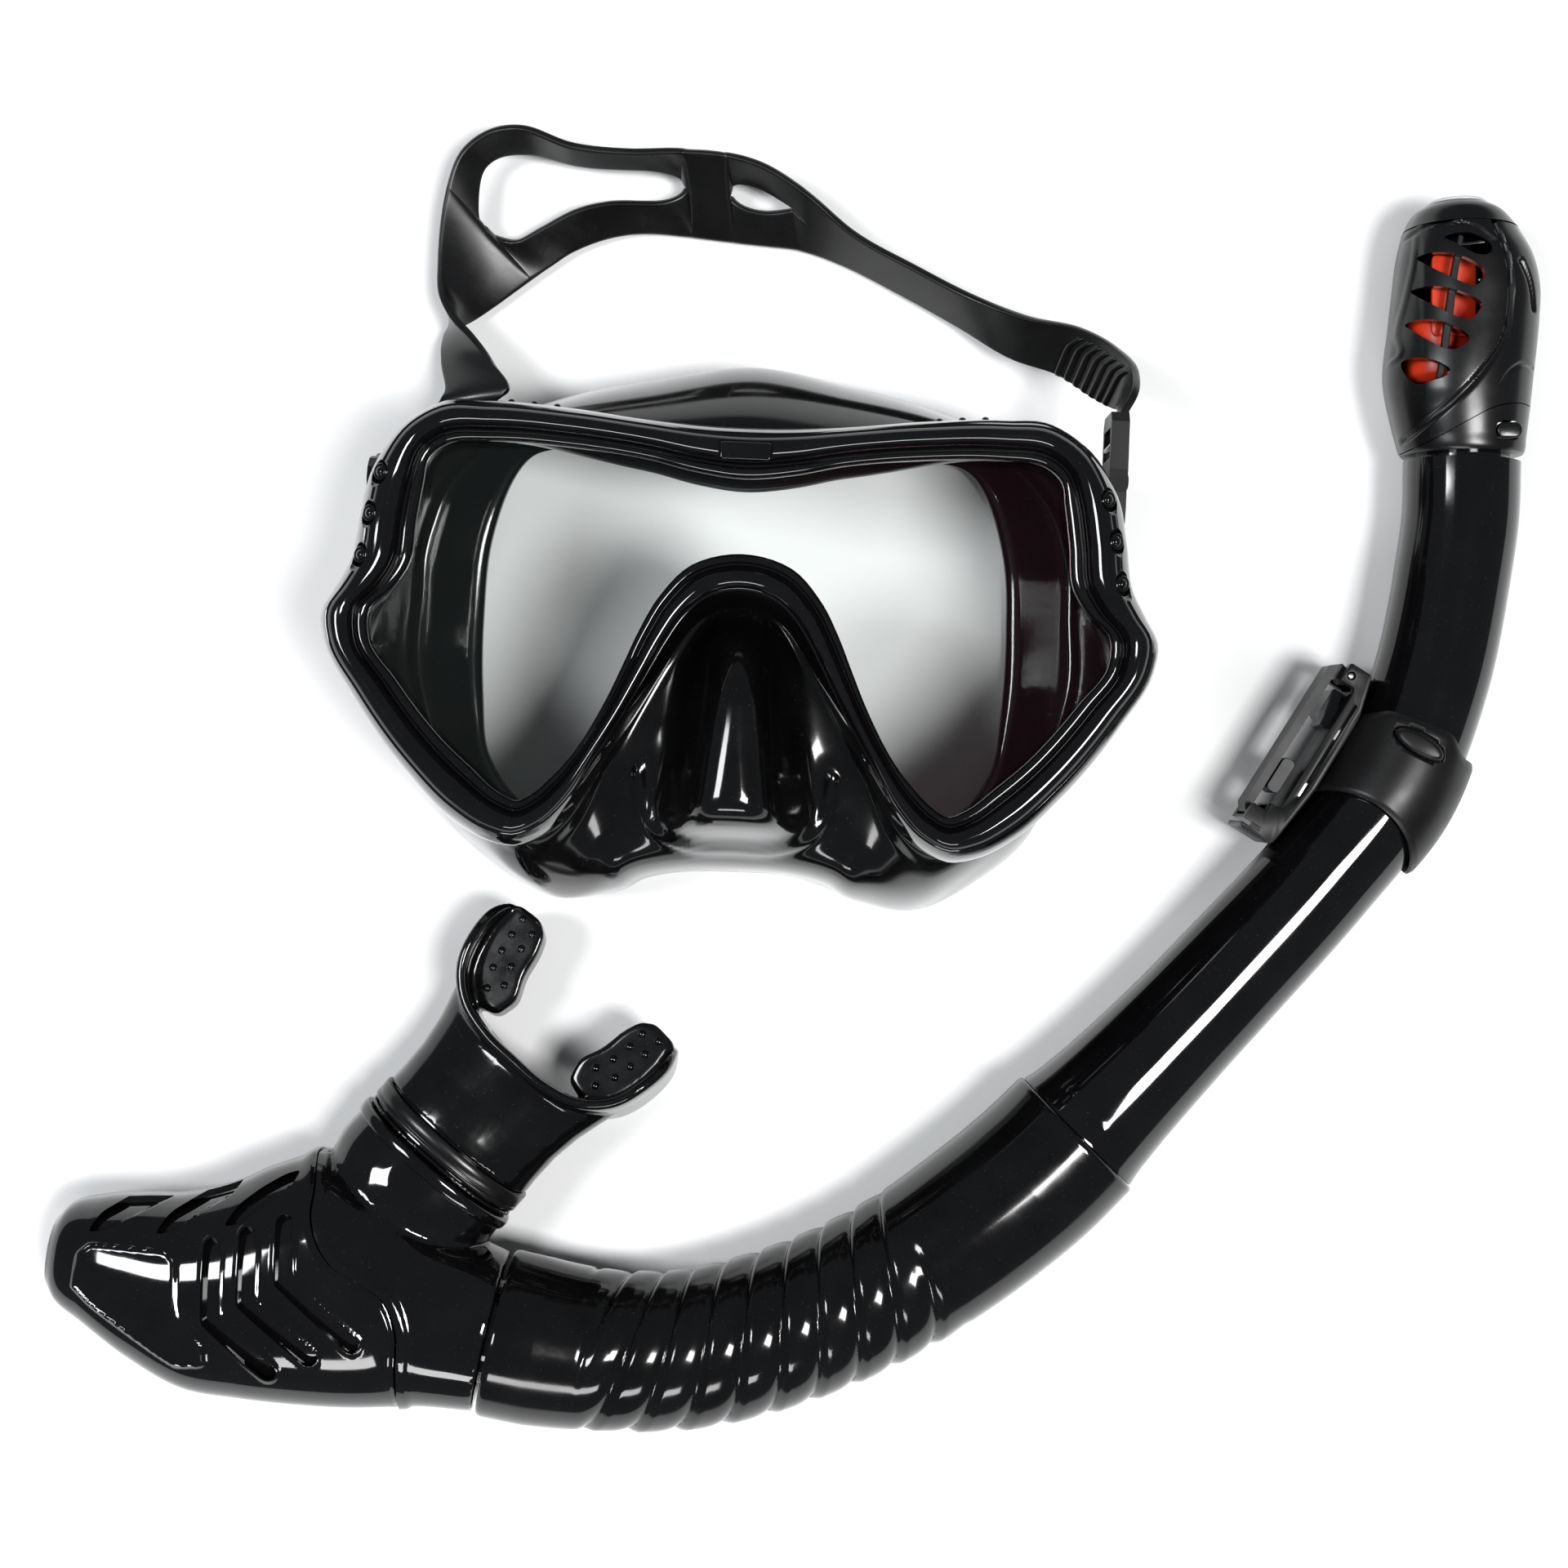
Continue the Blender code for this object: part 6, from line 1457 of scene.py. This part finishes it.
def make_shroud():
    """The slotted cover round the float, with its moulded lines, and the post behind its slots."""
    rows = smooth_rows([*DRY_FOOT, *SHROUD_ROWS], 0.3)
    shroud = tool(loft(dry_rings(rows, 0.0, 240)), SNORKEL, SATIN, "slotted_shroud")
    border = soft_line(SHROUD_BORDER, 60)
    left = soft_line(LEFT_LINE, 40)
    grooves = [(border, 0.7, 0.55), (soft_line(CAP_LINE, 40), 0.5, 0.35), (soft_line(RIGHT_GROOVE, 20), 0.8, 0.6),
               (soft_line(LEAF_LINE, 24), 0.35, 0.4)]

    def shift(at, normal):
        x, y = at[:, 0], at[:, 1]
        out = 0.25 * near_line(at, left, 0.0, 0.8)
        for line, depth, wide in grooves:
            out -= depth * near_line(at, line, wide * 0.5, wide * 1.6)
        past = np.interp(y, border[::-1, 1], border[::-1, 0]) - x
        panel = smoothstep(0.4, 1.2, past) * smoothstep(30.0, 24.0, past)
        out += 0.25 * panel * smoothstep(141.0, 142.5, x) * smoothstep(84.0, 88.0, y)
        return out * smoothstep(0.05, 0.3, normal[:, 2])

    shaped(shroud, SNORKEL, shift)
    first, last = DRY_FOOT[0], SHROUD_ROWS[-1]
    inner = [(72.0, *first[1:]), *DRY_FOOT[1:], *SHROUD_ROWS[:-1], (127.0, *last[1:])]
    cut(shroud, collar_side(0.12, 60.0), loft(dry_rings(smooth_rows(inner, 1.0), 1.7, 120)))
    for window in SHROUD_WINDOWS:
        cut(shroud, prism(DRY, rounded_loop(window, 6, 0.4), 4.0, 20.0))
    finished(shroud, 40, "snorkel_barrel", "matte", "dry_top_shroud")
    post = piece("float_guide", prism(DRY, GUIDE_POST, 11.4, 12.9), SNORKEL, MATTE, "snorkel_barrel", "matte")
    bevelled(post, 0.3, 2)


def make_cap():
    """The domed cap and the pale disc in its end."""
    cap = tool(loft(dry_rings(smooth_rows(CAP_ROWS, 0.25))), SNORKEL, SATIN, "domed_cap")
    under = [(123.0, *CAP_ROWS[0][1:]), (127.0, 141.6, 163.6, 13.4), (129.2, 146.2, 157.8, 8.8)]
    cut(cap, loft(dry_rings(smooth_rows(under, 1.0), 1.6)))
    finished(cap, 35, "snorkel_barrel", "matte", "dry_top_cap")
    crown = [(130.4, 145.4, 158.4, 9.2), (130.9, 145.2, 158.6, 9.3), (131.2, 145.5, 158.3, 9.0),
             (131.3, 147.0, 156.8, 7.6)]
    piece("cap_crown", loft(dry_rings(crown)), SNORKEL, PALE, "snorkel_barrel", "steel")


def make_float():
    """The orange float: a turned drum with a vane that shows through the slots."""
    profile = [(0.0, 5.9), (0.25, 6.4), (1.4, 7.7), (1.9, 7.95), (6.4, 7.95), (6.7, 7.6), (7.1, 7.6), (7.4, 7.95),
               (13.6, 7.95), (14.2, 7.8), (17.6, 5.3), (18.0, 4.8)]
    drum = tool(turned(DRY(148.4, 90.4, 0), AHEAD, profile, 72), SNORKEL, ORANGE, "float_fine")
    vane = rounded_loop([(144.6, 100.0), (154.4, 100.0), (154.4, 116.6), (150.4, 118.0), (144.6, 118.0)], 5, 0.12)
    layers = [(7.1, 0.2), (7.3, 0.0), (8.2, 0.0), (8.4, 0.2)]
    join(drum, layered(DRY, vane, layers, np.sign(vane - vane.mean(axis=0))))
    finished(drum, 40, "float", "float", "float")


def make_flap():
    """The flap that closes the riser, and its pin."""
    swing = flat_frame(DRY(*FLAP_PIN, 0), FLAP_ANGLE)
    plate = rounded_loop([(10.2, -0.7), (10.2, 0.7), (0.8, 0.9), (-6.6, 2.0), (-6.9, 0.8), (-0.8, -0.6)], 5, 0.12)
    layers = [(-4.4, 0.25), (-4.2, 0.0), (4.2, 0.0), (4.4, 0.25)]
    pull = np.sign(plate - plate.mean(axis=0)) * (1.0, 0.3)
    flap = tool(layered(swing, plate, layers, pull), SNORKEL, ORANGE, "sealing_flap")
    join(flap, turned(swing(0, 0, -4.0), UP, [(0.0, 1.3), (8.0, 1.3)], 40))
    cut(flap, turned(swing(0, 0, -6.0), UP, [(0.0, 0.8), (12.0, 0.8)], 40))
    finished(flap, 40, "flap", "float", "valve_flap")
    pin = turned(swing(0, 0, -6.5), UP, [(0.0, 0.4), (0.15, 0.5), (12.85, 0.5), (13.0, 0.4)], 24)
    piece("flap_pin_fine", pin, SNORKEL, STEEL, "snorkel_barrel", "steel", "flap_pin")


# ---------------------------------------------------------------- CAD nodes that stay, with their finish
# Look and width of the rounded edges.
KEPT = {
    "lens": (GLASS, 0.0),
    "retaining_ring": (GLOSS, 0.25),
    "purge_valve_seat": (GLOSS, 0.2),
    "keeper_gate": (MATTE, 0.35),
    "keeper_lock": (MATTE, 0.45),
    "buckle_body_left": (MATTE, 0.4),
    "buckle_body_right": (MATTE, 0.4),
    "buckle_mount_left": (MATTE, 0.3),
    "buckle_mount_right": (MATTE, 0.3),
}


def dress_kept_nodes():
    """Gives the CAD nodes that stay visible their materials and rounded edges."""
    for name, (look, width) in KEPT.items():
        node = NODES[name]
        node.data.materials.clear()
        node.data.materials.append(look)
        if width > 0.0:
            bevelled(node, width)


make_stage()
make_bezel()
make_skirt()
make_buckle("right", 1, 0.0)
make_buckle("left", -1, math.radians(-90))
make_strap()
make_hose()
make_barrel()
make_chamber()
make_cover()
make_purge_valve()
make_mouthpiece()
make_keeper()
make_dry_base()
make_shroud()
make_cap()
make_float()
make_flap()
dress_kept_nodes()
for made, body, slot, stands_for in PLACED:
    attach(made, body)
    if stands_for:
        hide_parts(*stands_for)
